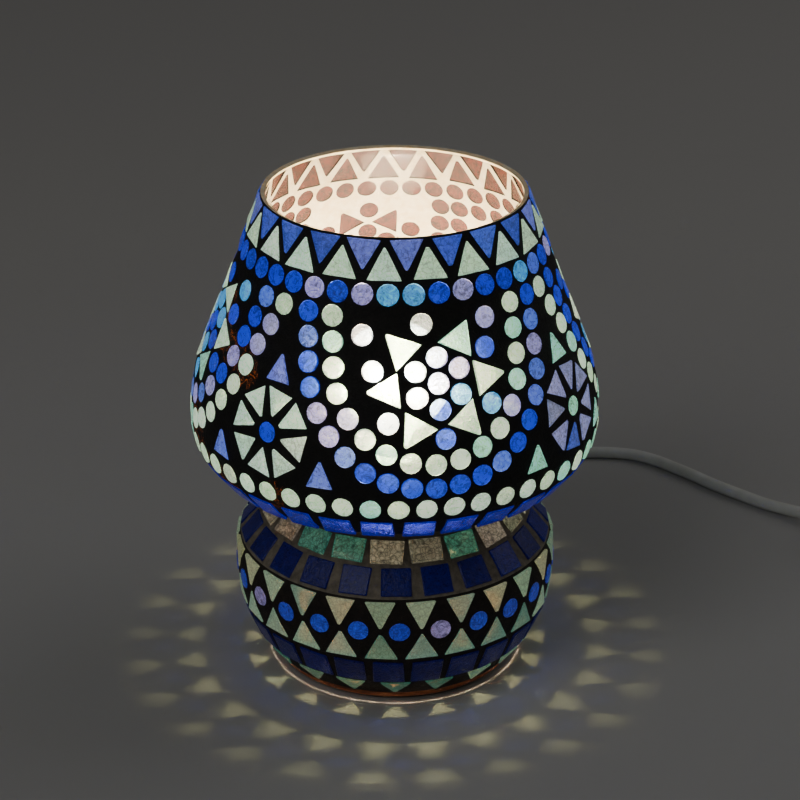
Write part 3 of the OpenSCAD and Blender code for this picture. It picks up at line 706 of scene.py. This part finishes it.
def chosen(part, angles, within=3.0):
    """True for the pieces whose angle is within some degrees of one of those given."""
    return (np.abs((part["at"][:, None] - angles + 180) % 360 - 180) < within).any(1)


def tint(node, usual, *others):
    """Colours a node's pieces: usual, then each (mask, colour), then times a shade between 0.78 and 1.2 and
    a small drift of each channel."""
    part = PIECES[node]
    rgb = np.tile(np.array(usual, float), (part["count"], 1))
    for mask, colour in others:
        rgb[mask] = colour
    colour = linear(*rgb.T).T * dice.uniform(0.78, 1.2, (part["count"], 1)) * dice.normal(1, 0.04, rgb.shape)
    colour = np.clip(np.hstack([colour, np.ones((part["count"], 1))]), 0, 1)
    layer = part["object"].data.attributes.new("tint", "FLOAT_COLOR", "POINT")
    layer.data.foreach_set("color", np.repeat(colour, 3 * K + 1, 0).astype(np.float32).ravel())


def some(node, share):
    """A random share of a node's pieces."""
    return dice.random(PIECES[node]["count"]) < share


print("stock colours, aqua in a shader", linear(*AQUA).round(2))

# %% [markdown]
# The bowl is quiet, with dark squares and pale triangles. The shade has all the blues, from sky at the front
# of the rosette to deep blue round it. The rosette discs at the left of the front panel are painted white, a
# painted hot spot where the bulb shines through them, so the middle of that panel looks the brightest.

# %% Tints of the bowl
discs, tiles = PIECES["diamond_discs"], PIECES["shoulder_tiles"]
teal_tiles = chosen(tiles, [-41.5, -20.5, 31.5, 100, 168, -130, -95], 8)
tint("foot_triangles", SAGE, (some("foot_triangles", 0.3), TEAL))
tint("lower_squares", NAVY)
tint("zigzag_lower_triangles", (168, 208, 176), (some("zigzag_lower_triangles", 0.2), (124, 186, 164)))
tint("zigzag_upper_triangles", (176, 206, 172), (some("zigzag_upper_triangles", 0.3), (196, 202, 158)))
tint("diamond_discs", (28, 48, 150), (chosen(discs, [15.5, -57, 102]), (124, 114, 160)))
tint("upper_squares", NAVY)
tint("shoulder_tiles", SAND, (teal_tiles, TEAL))
print("teal tiles", int(teal_tiles.sum()))

# %% Tints of the shade
tint("underside_tiles", ULTRA)
tint("hem_discs", ICE, (some("hem_discs", 0.22), AQUA))
collar = PIECES["collar_discs"]
lilac_ones = chosen(collar, [-30.3, -11.7, 25.6, 80, 150, -120])
sky_ones = chosen(collar, [-2.4, 6.8, 52, -80])
tint("collar_discs", BLUE, (some("collar_discs", 0.3), (70, 104, 222)), (lilac_ones, LILAC), (sky_ones, SKY))
tint("rim_aqua_triangles", (182, 222, 194))
tint("rim_blue_triangles", (62, 88, 204), (some("rim_blue_triangles", 0.25), (96, 110, 206)))
tint("arch_aqua_discs", ICE, (some("arch_aqua_discs", 0.25), AQUA), (some("arch_aqua_discs", 0.08), LILAC))
tint("arch_blue_discs", BLUE, (some("arch_blue_discs", 0.3), (78, 112, 226)),
     (some("arch_blue_discs", 0.14), LILAC))
FRONT_PANEL, PANEL_HALF, HOT_SPOT_TO, ROSETTE_MIDDLE = 13, 34, 11, 176
rose = PIECES["rosette_discs"]
front = np.abs(rose["at"] - FRONT_PANEL) < PANEL_HALF
# White on the front panel's left rosette discs is a painted hot spot: the bulb's light seen through them
left, high = rose["at"] < HOT_SPOT_TO, rose["level"] > ROSETTE_MIDDLE
tint("rosette_discs", BLUE, (some("rosette_discs", 0.45), SKY), (front & left, HOT_SPOT_WHITE),
     (front & ~left & high & some("rosette_discs", 0.7), LILAC))
tint("rosette_triangles", ICE, (some("rosette_triangles", 0.2), AQUA))
tint("wheel_aqua_triangles", (190, 230, 204), (some("wheel_aqua_triangles", 0.3), ICE))
tint("wheel_blue_triangles", (66, 92, 200), (some("wheel_blue_triangles", 0.45), (134, 142, 196)))
hubs, spandrels = PIECES["wheel_hubs"], PIECES["spandrel_triangles"]
by_blue_wheel = [59.7, 232.2 - 360]
tint("wheel_hubs", BLUE, (chosen(hubs, by_blue_wheel, 20), AQUA))
tint("spandrel_triangles", (88, 110, 214), (chosen(spandrels, by_blue_wheel, 27), AQUA))
print("white discs at the front", int((front & left).sum()))

# %% [markdown]
# Stained glass pieces glow because the bulb behind them shines through. The surface is clear-coated
# and pebbled, and the body is coloured glass with fine seeds and cracks in it. Part of the glow is painted
# into the glass as emission, a painted glow for the light that wanders inside a piece and comes out all
# over its face.
# The back of a piece, seen through the shell from inside, has a warm coat of adhesive.


# %% Glass of the pieces
def piece_glass(name, nodes, glow, through=0.25, shade=(255, 255, 255), crackle=0.25, rough=0.32,
                mottle=0.8, coat=0.3):
    """Coloured glass: tint * cloud * grain * (1 - cracks), where mottle is how far the cloud goes from 1.
    glow is the strength of its emission, a painted glow that stands in for the bulb's light coming through
    the piece, and a share, through, of the light goes straight on, tinted by shade."""
    glass = Finish(name, shade, Roughness=rough, IOR=1.5, Transmission_Weight=0.15, Coat_Weight=coat,
                   Coat_Roughness=0.12, Emission_Strength=glow)
    colour = glass.node("ShaderNodeAttribute", {"attribute_name": "tint"}, out=0)
    cloud, grain = glass.noise(300, swirl=2.5), glass.noise(1500, 2.0)
    cracks = glass.cells(520, "DISTANCE_TO_EDGE")
    lines = (cracks < 0.07) * crackle
    light = glass.between(cloud, 1 - 1.5 * mottle, 1 + 1.5 * mottle) * glass.between(grain, 0.6, 1.4)
    varied = glass.mix(1.0, colour, light * (1 - lines), "MULTIPLY")
    inner_side = glass.node("ShaderNodeNewGeometry", out=6)
    glass.feed("Base Color", glass.mix(inner_side, varied, opaque(96, 36, 24)))
    # The emission is painted glow: the bulb's light through the piece, painted in as the piece's own light
    glass.feed("Emission Color", glass.mix(inner_side, varied, BLACK))
    glass.feed("Roughness", glass.between(grain, rough - 0.12, rough + 0.14))
    glass.bump(cloud * 0.7 + grain * 0.5 + lines, 0.0005, 0.7)
    clear = glass.tree.nodes.new("ShaderNodeBsdfTransparent")
    clear.inputs[0].default_value = opaque(*shade)
    both = glass.tree.nodes.new("ShaderNodeMixShader")
    straight = glass.between(cloud, through * 0.2, through * 1.8)
    glass.tree.links.new(straight.socket, both.inputs[0])
    glass.tree.links.new(glass.shader.outputs[0], both.inputs[1])
    glass.tree.links.new(clear.outputs[0], both.inputs[2])
    glass.tree.links.new(both.outputs[0], glass.tree.nodes["Material Output"].inputs[0])
    back = backing(name + "_back")
    for node in nodes:
        mesh = PIECES[node]["object"].data
        mesh.materials.append(glass.material)
        mesh.materials.append(back)
        index = np.zeros(len(mesh.polygons), np.int32)
        index[PIECES[node]["bottoms"]:] = 1
        mesh.polygons.foreach_set("material_index", index)
    print(name, len(nodes), "kinds of piece")


def backing(name):
    """Adhesive on the back of a piece: a ramp of clouds in warm browns. Its alpha is 0.9 as seen from inside
    and 0.08 from outside, so it hardly dims the light that leaves."""
    coat = Finish(name, (150, 70, 50), Roughness=0.6)
    coat.feed("Base Color", coat.ramp(coat.noise(420, swirl=1.5), (0.35, (46, 9, 7)), (0.65, (118, 38, 22))))
    outer_side = coat.node("ShaderNodeNewGeometry", out=6)
    coat.feed("Alpha", coat.between(outer_side, 0.9, 0.08))
    coat.bump(coat.noise(900), 0.0002, 0.5)
    return coat.material


# %% [markdown]
# The paler a glass, the more light it lets through, and the brighter its painted glow. Cobalt on the bowl
# sits far below the bulb, so it is given only a weak painted glow and stays deep and dark.

# %% The kinds of glass
piece_glass("glass_aqua", ["hem_discs", "rim_aqua_triangles", "arch_aqua_discs", "rosette_triangles",
                           "wheel_aqua_triangles"], 1.0, 0.2, (205, 250, 222), mottle=0.6)
piece_glass("glass_cyan", ["rosette_discs"], 0.9, 0.2, (180, 216, 252), mottle=0.9)
piece_glass("glass_blue", ["collar_discs", "arch_blue_discs", "wheel_hubs", "spandrel_triangles",
                           "diamond_discs"], 0.75, 0.07, (24, 60, 240), mottle=1.1)
piece_glass("glass_grey_blue", ["rim_blue_triangles", "wheel_blue_triangles"], 0.62, 0.07, (60, 84, 222))
piece_glass("glass_cobalt", ["upper_squares", "lower_squares"], 0.2, 0.05, (10, 30, 210), crackle=0.1,
            rough=0.3, coat=0.08)
piece_glass("glass_ultramarine", ["underside_tiles"], 0.35, 0.06, (6, 18, 210), crackle=0.1, rough=0.16)
piece_glass("glass_pale_green", ["zigzag_lower_triangles", "zigzag_upper_triangles"], 0.34, 0.28,
            (222, 242, 200), mottle=0.5)
piece_glass("glass_teal", ["foot_triangles"], 0.3, 0.3, (226, 240, 200))
piece_glass("glass_crackle", ["shoulder_tiles"], 0.4, 0.12, (226, 246, 232), crackle=0.5, mottle=1.2)

# %% [markdown]
# ## Grout
# Grout fills what the pieces leave, so its surface has a hole for every piece. A constrained Delaunay
# triangulation keeps the pieces' outlines as edges. The band is opened out flat as a ring, where the
# distance from the ring's middle stands for s, so that it needs no seam. The triangles outside every
# outline become the grout's face, its back on the shell, and the walls of the holes.


# %% What lies within a piece
NEAR, MARGIN = 11, 0.9


def round_from(angle, middle):
    """The angle from a middle, brought to between -pi and pi."""
    return (angle - middle + np.pi) % (2 * np.pi) - np.pi


def inside_a_piece(angle, s, group):
    """True where a place lies within the outline of a piece, or within MARGIN mm of it. The distance left of
    each edge is (edge x (place - corner)) / length, and all of them are over -MARGIN."""
    hit = np.zeros(len(angle), bool)
    for node in group:
        part = PIECES[node]
        middle, mid_s = np.radians(part["at"]), part["s"].mean(1)
        r = np.interp(mid_s, wall_s, wall[:, 0])
        x, y = round_from(part["angle"], middle[:, None]) * r[:, None], part["s"] - mid_s[:, None]
        place_x, place_y = round_from(angle[:, None], middle) * r, s[:, None] - mid_s
        q, k = np.nonzero(np.hypot(place_x, place_y) < NEAR)
        edge_x, edge_y = np.roll(x, -1, 1) - x, np.roll(y, -1, 1) - y
        long = np.hypot(edge_x, edge_y) + 1e-9
        from_x, from_y = place_x[q, k, None] - x[k], place_y[q, k, None] - y[k]
        left = (edge_x[k] * from_y - edge_y[k] * from_x) / long[k]
        hit[q[left.min(1) > -MARGIN]] = True
    return hit


hem = PIECES["hem_discs"]
within = inside_a_piece(np.radians(hem["at"]), hem["level"], ["hem_discs"])
print("middles within a hem piece", int(within.sum()), "of", hem["count"])

# %% [markdown]
# The points of a band are its two edges, the outlines of its pieces and a loose grid between them. Each
# triangle then has a face 0.3 to 0.6 mm deep and a back on the shell, and an edge that only one triangle
# has, round a piece or along the band, gets a wall.

# %% Grout bands
GRID_STEP, EDGE_GAP, SAME_POINT = 3.6, 0.05, 1e-6
BESIDE, BETWEEN, UNEVEN, BACK = 0.32, 0.62, 0.04, 2.2


def flat_points(s0, s1, group, around):
    """Angle and s of the band's points: both edges, the outlines, and the grid where it is free."""
    rows = max(2, round((s1 - s0) / GRID_STEP))
    r_mid = np.interp((s0 + s1) / 2, wall_s, wall[:, 0])
    columns = round(2 * np.pi * r_mid / GRID_STEP)
    ring = np.arange(around) / around * 2 * np.pi
    grid_s, grid_a = np.meshgrid(
        s0 + np.arange(1, rows) * (s1 - s0) / rows, np.arange(columns) / columns * 2 * np.pi, indexing="ij"
    )
    grid_a = (grid_a + (np.arange(rows - 1) % 2)[:, None] * np.pi / columns).ravel()
    grid_s = (grid_s + dice.uniform(-0.5, 0.5, grid_s.shape)).ravel()
    free = ~inside_a_piece(grid_a, grid_s, group)
    outline_a = np.concatenate([PIECES[node]["angle"].ravel() for node in group])
    outline_s = np.concatenate([PIECES[node]["s"].ravel() for node in group])
    outline_s = np.clip(outline_s, s0 + EDGE_GAP, s1 - EDGE_GAP)
    angle = np.concatenate([ring, ring, outline_a, grid_a[free]])
    s = np.concatenate([np.full(around, s0), np.full(around, s1), outline_s, grid_s[free]])
    return angle, s, len(outline_a) // K


def grout_band(node, s0, s1, group, around=180):
    """The band from s0 to s1. Laid flat, a point is (r_mid + sign (s - s_mid)) (sin angle, -cos angle), and
    a triangle that lies in an outline is left out. The face is BESIDE deep by a piece and BETWEEN elsewhere.
    Also which material each face has: 1 for the back and the wall at the lamp's rim, and 0 for the rest."""
    s_mid, r_mid = (s0 + s1) / 2, np.interp((s0 + s1) / 2, wall_s, wall[:, 0])
    sign = 1 if np.interp(s1, wall_s, wall[:, 0]) > np.interp(s0, wall_s, wall[:, 0]) else -1
    angle, s, count = flat_points(s0, s1, group, around)
    flat = (r_mid + sign * (s - s_mid))[:, None] * np.stack([np.sin(angle), -np.cos(angle)], -1)
    inner = 0 if sign > 0 else around
    holes = [list(range(inner, inner + around))]
    holes += [list(range(2 * around + i * K, 2 * around + (i + 1) * K))[::-sign] for i in range(count)]
    verts, _, faces, _, _, origins = delaunay_2d_cdt([Vector(p) for p in flat], [], holes, 0, SAME_POINT)
    faces = np.array([f for f, origin in zip(faces, origins) if not origin and len(f) == 3])
    flat = np.array([tuple(v) for v in verts])
    used, faces = np.unique(faces, return_inverse=True)
    faces, flat = faces.reshape(-1, 3), flat[used]
    angle = np.arctan2(flat[:, 0], -flat[:, 1])
    s = s_mid + sign * (np.hypot(*flat.T) - r_mid)
    a, b = faces.ravel(), np.roll(faces, -1, 1).ravel()
    open_edge = ~np.isin(a * len(s) + b, b * len(s) + a)
    rim = np.zeros(len(s), bool)
    rim[a[open_edge]] = rim[b[open_edge]] = True
    depth = np.where(rim, BESIDE, BETWEEN) + dice.normal(0, UNEVEN, len(s))
    points = np.vstack([on_wall(angle, s, depth), on_wall(angle, s, BACK)])
    corner = points[faces]
    facing = np.cross(corner[:, 1] - corner[:, 0], corner[:, 2] - corner[:, 0])
    if (facing * corner[:, 0] * [1, 1, 0]).sum() < 0:
        faces, a, b = faces[:, ::-1], b, a
    n = len(s)
    walls = np.stack([b[open_edge], a[open_edge], a[open_edge] + n, b[open_edge] + n], -1)
    band = make(node + "_fill", points, [faces, faces[:, ::-1] + n, walls], smooth=55)
    index = np.zeros(len(band.data.polygons), np.int32)
    index[len(faces):2 * len(faces)] = 1
    index[2 * len(faces):][s[a[open_edge]] > wall_s[-1] - 0.5] = 1
    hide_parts(node)
    return band, index


# Where the bands meet, as distances up a wall that is MARKED_WALL mm long
MARKED_WALL = 234.55
MARKS = np.array([5.5, 30.3, 58.4, 87.5, 136, 208.75, 234.45]) * (wall_s[-1] / MARKED_WALL)
grout = {}
for (node, group), s0, s1 in zip(MOSAIC.items(), MARKS, MARKS[1:]):
    grout[node] = grout_band(node, s0, s1, group)
    print(node, len(grout[node][0].data.polygons), "faces")

# %% [markdown]
# Set grout is matt and sandy. On the shade it is black; on the bowl's shoulder it is a grey brown.
# From inside one sees the adhesive and the back of the grout through the shell, pale and warm.


# %% Grout finishes
def grout_finish(name, dark, light, rough=0.75, glints=0.0):
    """Sandy grout between two colours. glints is how much orange light comes out of hairline cracks, which
    are where a slow cloud is within a hair of 0.5 and another is over 0.65."""
    fill = Finish(name, dark, Roughness=rough)
    fill.feed("Base Color", fill.ramp(fill.noise(330, 5.0), (0.3, dark), (0.75, light)))
    fill.feed("Roughness", fill.between(fill.noise(900), rough - 0.2, rough + 0.12))
    fill.bump(fill.noise(1500, 5.0) + fill.noise(380) * 0.6, 0.0004, 0.8)
    if glints:
        wander = fill.noise(150, 3.0, swirl=2.0)
        hairline = (wander - 0.5) * (wander - 0.5) < 0.00005
        spread = fill.noise(26, 1.0) > 0.65
        fill.feed("Emission Color", fill.mix(hairline * spread, BLACK, opaque(230, 110, 30)))
        fill.shader.inputs["Emission Strength"].default_value = glints
    return fill.material


cream = Finish("adhesive_cream", (250, 236, 200), Roughness=0.7)
cream.feed("Base Color", cream.ramp(cream.noise(260, 4.0), (0.3, (236, 212, 164)), (0.7, (253, 244, 218))))
cream.bump(cream.noise(700), 0.0003, 0.5)
FILLS = {
    "grout_dark": grout_finish("grout_dark", (9, 8, 8), (26, 22, 20), glints=0.35),
    "grout_brown": grout_finish("grout_brown", (24, 18, 15), (48, 38, 32)),
    "grout_taupe": grout_finish("grout_taupe", (112, 104, 90), (160, 150, 130)),
}
BANDS = {"grout_foot": "grout_brown", "grout_zigzag": "grout_brown", "grout_shoulder": "grout_taupe"}
for node, (band, index) in grout.items():
    band.data.materials.append(FILLS[BANDS.get(node, "grout_dark")])
    band.data.materials.append(cream.material)
    band.data.polygons.foreach_set("material_index", index)
    "grout_taupe" if node == "grout_shoulder" else "grout_dark"
    print(band.name, "front", band.data.materials[0].name)

# %% [markdown]
# ## Glass shell
# The shell is the same outline at two depths, with a fire-polished edge rounded at the rim. It is
# nearly clear, so the pieces and the adhesive are seen through it from inside.

# %% Glass shell
FOOT_S, OUT_D, IN_D = MARKS[0], 2.25, 4.7
shell_s = np.r_[FOOT_S, wall_s[(wall_s > FOOT_S + 0.5) & (wall_s < wall_s[-1] - 1.6)][::4], wall_s[-1] - 1.5]


def shell_line(depth):
    """[radius, height] of the wall at a depth."""
    p = on_wall(np.zeros(len(shell_s)), shell_s, depth)
    return np.stack([-p[:, 1], p[:, 2]], -1)


rim_turn = np.radians(np.arange(15, 180, 15))[:, None]
rim_mid = (shell_line(OUT_D)[-1] + shell_line(IN_D)[-1]) / 2
rim_out = (shell_line(OUT_D)[-1] - shell_line(IN_D)[-1]) / 2
rim_up = np.array([-rim_out[1], rim_out[0]])
rim_line = rim_mid + np.cos(rim_turn) * rim_out + np.sin(rim_turn) * rim_up
shell = turned("glass_shell", np.vstack([shell_line(OUT_D), rim_line, shell_line(IN_D)[::-1]]), 180)
clear = Finish("clear_glass", (64, 72, 66), Roughness=0.06, IOR=1.5, Alpha=0.14, Specular_IOR_Level=0.6)
clear.bump(clear.noise(60), 0.0004, 0.25)
clear.feed("Roughness", clear.between(clear.noise(90), 0.03, 0.12))
clear.on(shell)
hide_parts("glass_body")
print(shell.name, round(IN_D - OUT_D, 2), "mm thick,", len(shell.data.polygons), "faces")

# %% [markdown]
# ## Base, stem and lampholder
# The shell stands on a stained wooden disc with a felt pad. A plated tube carries the lampholder.
# These keep their CAD shapes, with edges rounded where they can be seen from above.

# %% Wood and felt
wood = Finish("stained_wood", (168, 92, 50), Roughness=0.5, Coat_Weight=0.25)
grain = wood.noise(55, 6.0, wood.place((1, 9, 9)))
wood.feed("Base Color", wood.ramp(grain, (0.3, (112, 56, 28)), (0.52, (176, 98, 54)), (0.72, (204, 128, 76))))
wood.feed("Roughness", wood.between(grain, 0.38, 0.6))
wood.bump(grain, 0.0003, 0.5)
felt = Finish("felt", (40, 42, 40), Roughness=0.95, Sheen_Weight=0.4)
fibres = felt.noise(2400, 5.0)
felt.feed("Base Color", felt.ramp(fibres, (0.3, (26, 28, 27)), (0.75, (62, 64, 60))))
felt.bump(fibres, 0.0006, 1.0)
felt.on("felt_pad")
print("base", wood.material.name, felt.material.name)

# %% [markdown]
# Turned and drawn metal has fine lines along it, which a noise stretched on one axis gives.


# %% Metals
def metal(name, low, high, rough, brushed=(1, 1, 14)):
    """A metal with fine drawn lines: roughness and colour follow a stretched noise."""
    made = Finish(name, high, Metallic=1.0, Roughness=rough)
    lines = made.noise(420, 4.0, made.place(brushed))
    made.feed("Base Color", made.ramp(lines, (0.3, low), (0.7, high)))
    made.feed("Roughness", made.between(lines, rough - 0.08, rough + 0.12))
    made.bump(lines, 0.00005, 0.4)
    return made


steel = metal("plated_steel", (150, 150, 150), (205, 204, 200), 0.28)
brass = metal("brass", (150, 116, 54), (208, 170, 92), 0.26)
steel.on("column_screws", "terminal_screws", "screw_sleeve", "switch_screws", "plug_pins")
brass.on("nipple", "nipple_nuts", "centre_contact", "switch_contacts")
softened("base_plinth", "base_disc", 0.7, finish=wood)
softened("stem_tube", "column", 0.3, finish=steel, segments=2)
print("metals", steel.material.name, brass.material.name)

# %% [markdown]
# The lampholder is moulded plastic round a ceramic block, which stands the heat. The two cores of the
# lead end at its screws, one brown and one blue.

# %% Holder and wires
ivory = Finish("holder_plastic", (226, 220, 204), Roughness=0.34, Coat_Weight=0.15)
ivory.feed("Base Color", ivory.ramp(ivory.noise(70), (0.3, (214, 206, 186)), (0.7, (234, 229, 214))))
ivory.feed("Roughness", ivory.between(ivory.noise(300), 0.26, 0.44))
ivory.bump(ivory.noise(1800), 0.00008, 0.5)
china = Finish("holder_ceramic", (232, 226, 210), Roughness=0.3, Coat_Weight=0.4)
china.feed("Base Color", china.ramp(china.cells(900), (0.1, (238, 233, 220)), (0.8, (214, 206, 186))))
china.feed("Roughness", china.between(china.noise(240), 0.2, 0.45))
china.bump(china.noise(500), 0.0002, 0.4)
china.on("terminal_block")
cores = Finish("wire_pvc", (90, 50, 24), Roughness=0.4)
side = cores.node("ShaderNodeSeparateXYZ", None, {0: cores.place()})
skin = cores.between(cores.noise(700), 0.8, 1.1)
brown_or_blue = cores.mix(side < 0.0, opaque(96, 52, 26), opaque(40, 96, 190))
cores.feed("Base Color", cores.mix(1.0, brown_or_blue, skin, "MULTIPLY"))
cores.feed("Roughness", cores.between(cores.noise(500), 0.3, 0.5))
cores.on("core_wires")
softened("holder_lower_cup", "holder_cap", 0.4, finish=ivory)
softened("holder_upper_sleeve", "holder_shell", 0.4, finish=ivory)
print("holder", ivory.material.name, china.material.name, cores.material.name)

# %% [markdown]
# ## Bulb
# A small round bulb, lightly frosted, so that it glows all over and its filament still shows through.
# Its screw cap is rolled sheet metal. The radius is 6.9 - 0.42 (1 - cos(turns between angle and
# height)) / 2, a thread of 2.82 mm pitch, which runs out smoothly at both ends.

# %% Bulb cap
PITCH, THREAD_DEPTH, THREAD_FROM, THREAD_TO, RUN_OUT = 2.82, 0.42, 69.4, 89.4, 2
CAP_WALL, CAP_BORE = 0.25, 6.58


def bulb_cap(around=72):
    """Outside radius = profile(z) - depth(z) (1 - cos(2 pi z / PITCH - a)) / 2. The inside is a plain tube
    CAP_WALL less than the least radius, or than CAP_BORE where that is smaller, joined at both ends."""
    z = np.r_[66.5, 66.7, 67.6, 68.8, np.linspace(69.2, 89.2, 72), 90, 91.2, 92.0]
    r = np.interp(z, [66.5, 66.7, 67.6, 69.2, 89.2, 90, 91.2, 92], [4.3, 4.9, 5.6, 6.9, 6.9, 6.9, 7.3, 7.4])
    a = np.arange(around) / around * 2 * np.pi
    depth = THREAD_DEPTH * ease((z - THREAD_FROM) / RUN_OUT) * ease((THREAD_TO - z) / RUN_OUT)
    r = r[:, None] - depth[:, None] * (1 - np.cos(2 * np.pi * z[:, None] / PITCH - a)) / 2
    inside = np.minimum(r.min(1), CAP_BORE)[:, None] - CAP_WALL + 0 * r
    r, z = np.vstack([r, inside[::-1]]), np.r_[z, z[::-1]][:, None]
    points = np.stack([r * np.sin(a), -r * np.cos(a), z + 0 * r], -1).reshape(-1, 3)
    return make("bulb_screw_cap", points, [quads(len(r), len(a), loop=True)], "bulb", tidy=True)


cap = bulb_cap()
metal("bulb_cap", (160, 160, 158), (214, 213, 208), 0.3).on(cap, "bulb_contact")
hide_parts("bulb_cap")
print(cap.name, len(cap.data.polygons), "faces")

# %% [markdown]
# The globe is blown onto its neck, so its outline is a short neck and then one arc to the top. It is
# turned about the axis at two radii, which gives the glass a thickness.

# %% Globe
GLOBE_R, GLOBE_Z, GLOBE_WALL = 22.5, 120, 0.7


def globe_line(neck, radius):
    """[radius, height] of the neck and then of radius (cos a, sin a) about the globe's middle."""
    a = np.radians(np.linspace(-60, 88, 40))[1:]
    arc = np.stack([radius * np.cos(a), GLOBE_Z + radius * np.sin(a)], -1)
    return np.vstack([neck, arc, [[0, GLOBE_Z + radius]]])


outer = globe_line([[6.3, 89.5], [6.35, 92.3], [7.1, 95.0], [8.6, 97.8]], GLOBE_R)
inner = globe_line([[5.6, 89.5], [5.65, 92.3], [6.4, 95.2], [7.9, 98.2]], GLOBE_R - GLOBE_WALL)
globe = turned("bulb_envelope", np.vstack([outer, inner[::-1]]), 72, body="bulb")
frosted = Finish("bulb_glass", (255, 246, 226), Roughness=0.3, Emission_Strength=30.0, Coat_Weight=0.3,
                 Alpha=0.4)
warm = frosted.ramp(frosted.noise(40), (0.2, (255, 228, 190)), (0.8, (255, 240, 214)))
frosted.feed("Emission Color", warm)
frosted.feed("Roughness", frosted.between(frosted.noise(900), 0.28, 0.45))
frosted.on(globe)
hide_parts("bulb_globe")
print(globe.name, 2 * GLOBE_R, "mm across")

# %% [markdown]
# Inside are a glass stem and a filament. The filament is small and far brighter than the globe, so it
# throws the crisp coloured patches on the table: its strength is WATTS / (pi area), which gives the
# same light however finely the wire is meshed.

# %% Insulator, stem and filament
black = Finish("black_glass", (14, 13, 14), Roughness=0.12, Coat_Weight=0.5)
black.feed("Roughness", black.between(black.noise(300), 0.08, 0.22))
black.bump(black.noise(200), 0.0002, 0.3)
black.on("bulb_insulator")
stem = Finish("bulb_stem_glass", (228, 240, 236), Roughness=0.08, Alpha=0.4)
stem.feed("Roughness", stem.between(stem.noise(400), 0.04, 0.16))
stem.on("bulb_stem")
WATTS = 4.2
coil_area = sum(face.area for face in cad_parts["bulb_filament"].data.polygons)
strength = WATTS / (math.pi * coil_area)
hot = Finish("hot_filament", (255, 220, 170), Roughness=0.5, Emission_Strength=strength)
hot.feed("Emission Color", hot.ramp(hot.noise(800), (0.3, (255, 222, 180)), (0.7, (255, 238, 210))))
hot.on("bulb_filament")
print("filament", round(coil_area / MM**2, 1), "mm2, strength", round(strength))

# %% [markdown]
# ## Floor and light
# A plain pale floor, a dim even sky and two large soft lamps, weak enough for the mosaic's own glow to
# be what one sees first.

# %% Floor and light
bpy.ops.mesh.primitive_plane_add(size=6)
floor = bpy.context.object
floor.name = "floor"
table = Finish("table_top", (188, 186, 184), Roughness=0.4)
table.feed("Roughness", table.between(table.noise(14), 0.34, 0.46))
table.on(floor)


def soft_lamp(name, place, size, power, aim=(0, 0, 0.1)):
    """A square area light whose -Z axis is turned to face a point."""
    lamp = bpy.data.objects.new(name, bpy.data.lights.new(name, "AREA"))
    bpy.context.collection.objects.link(lamp)
    lamp.data.size, lamp.data.energy = size, power
    lamp.location = place
    lamp.rotation_mode = "QUATERNION"
    lamp.rotation_quaternion = (Vector(aim) - Vector(place)).to_track_quat("-Z", "Y")


soft_lamp("key", (-1.1, -1.3, 1.7), 1.2, 6)
soft_lamp("fill", (1.4, 0.6, 1.3), 1.4, 3)
sky = bpy.data.worlds.new("sky")
bpy.context.scene.world = sky
sky.use_nodes = True
sky.node_tree.nodes["Background"].inputs[0].default_value = (0.86, 0.84, 0.8, 1)
sky.node_tree.nodes["Background"].inputs[1].default_value = 0.06
print("lights", [lamp.name for lamp in bpy.data.lights])
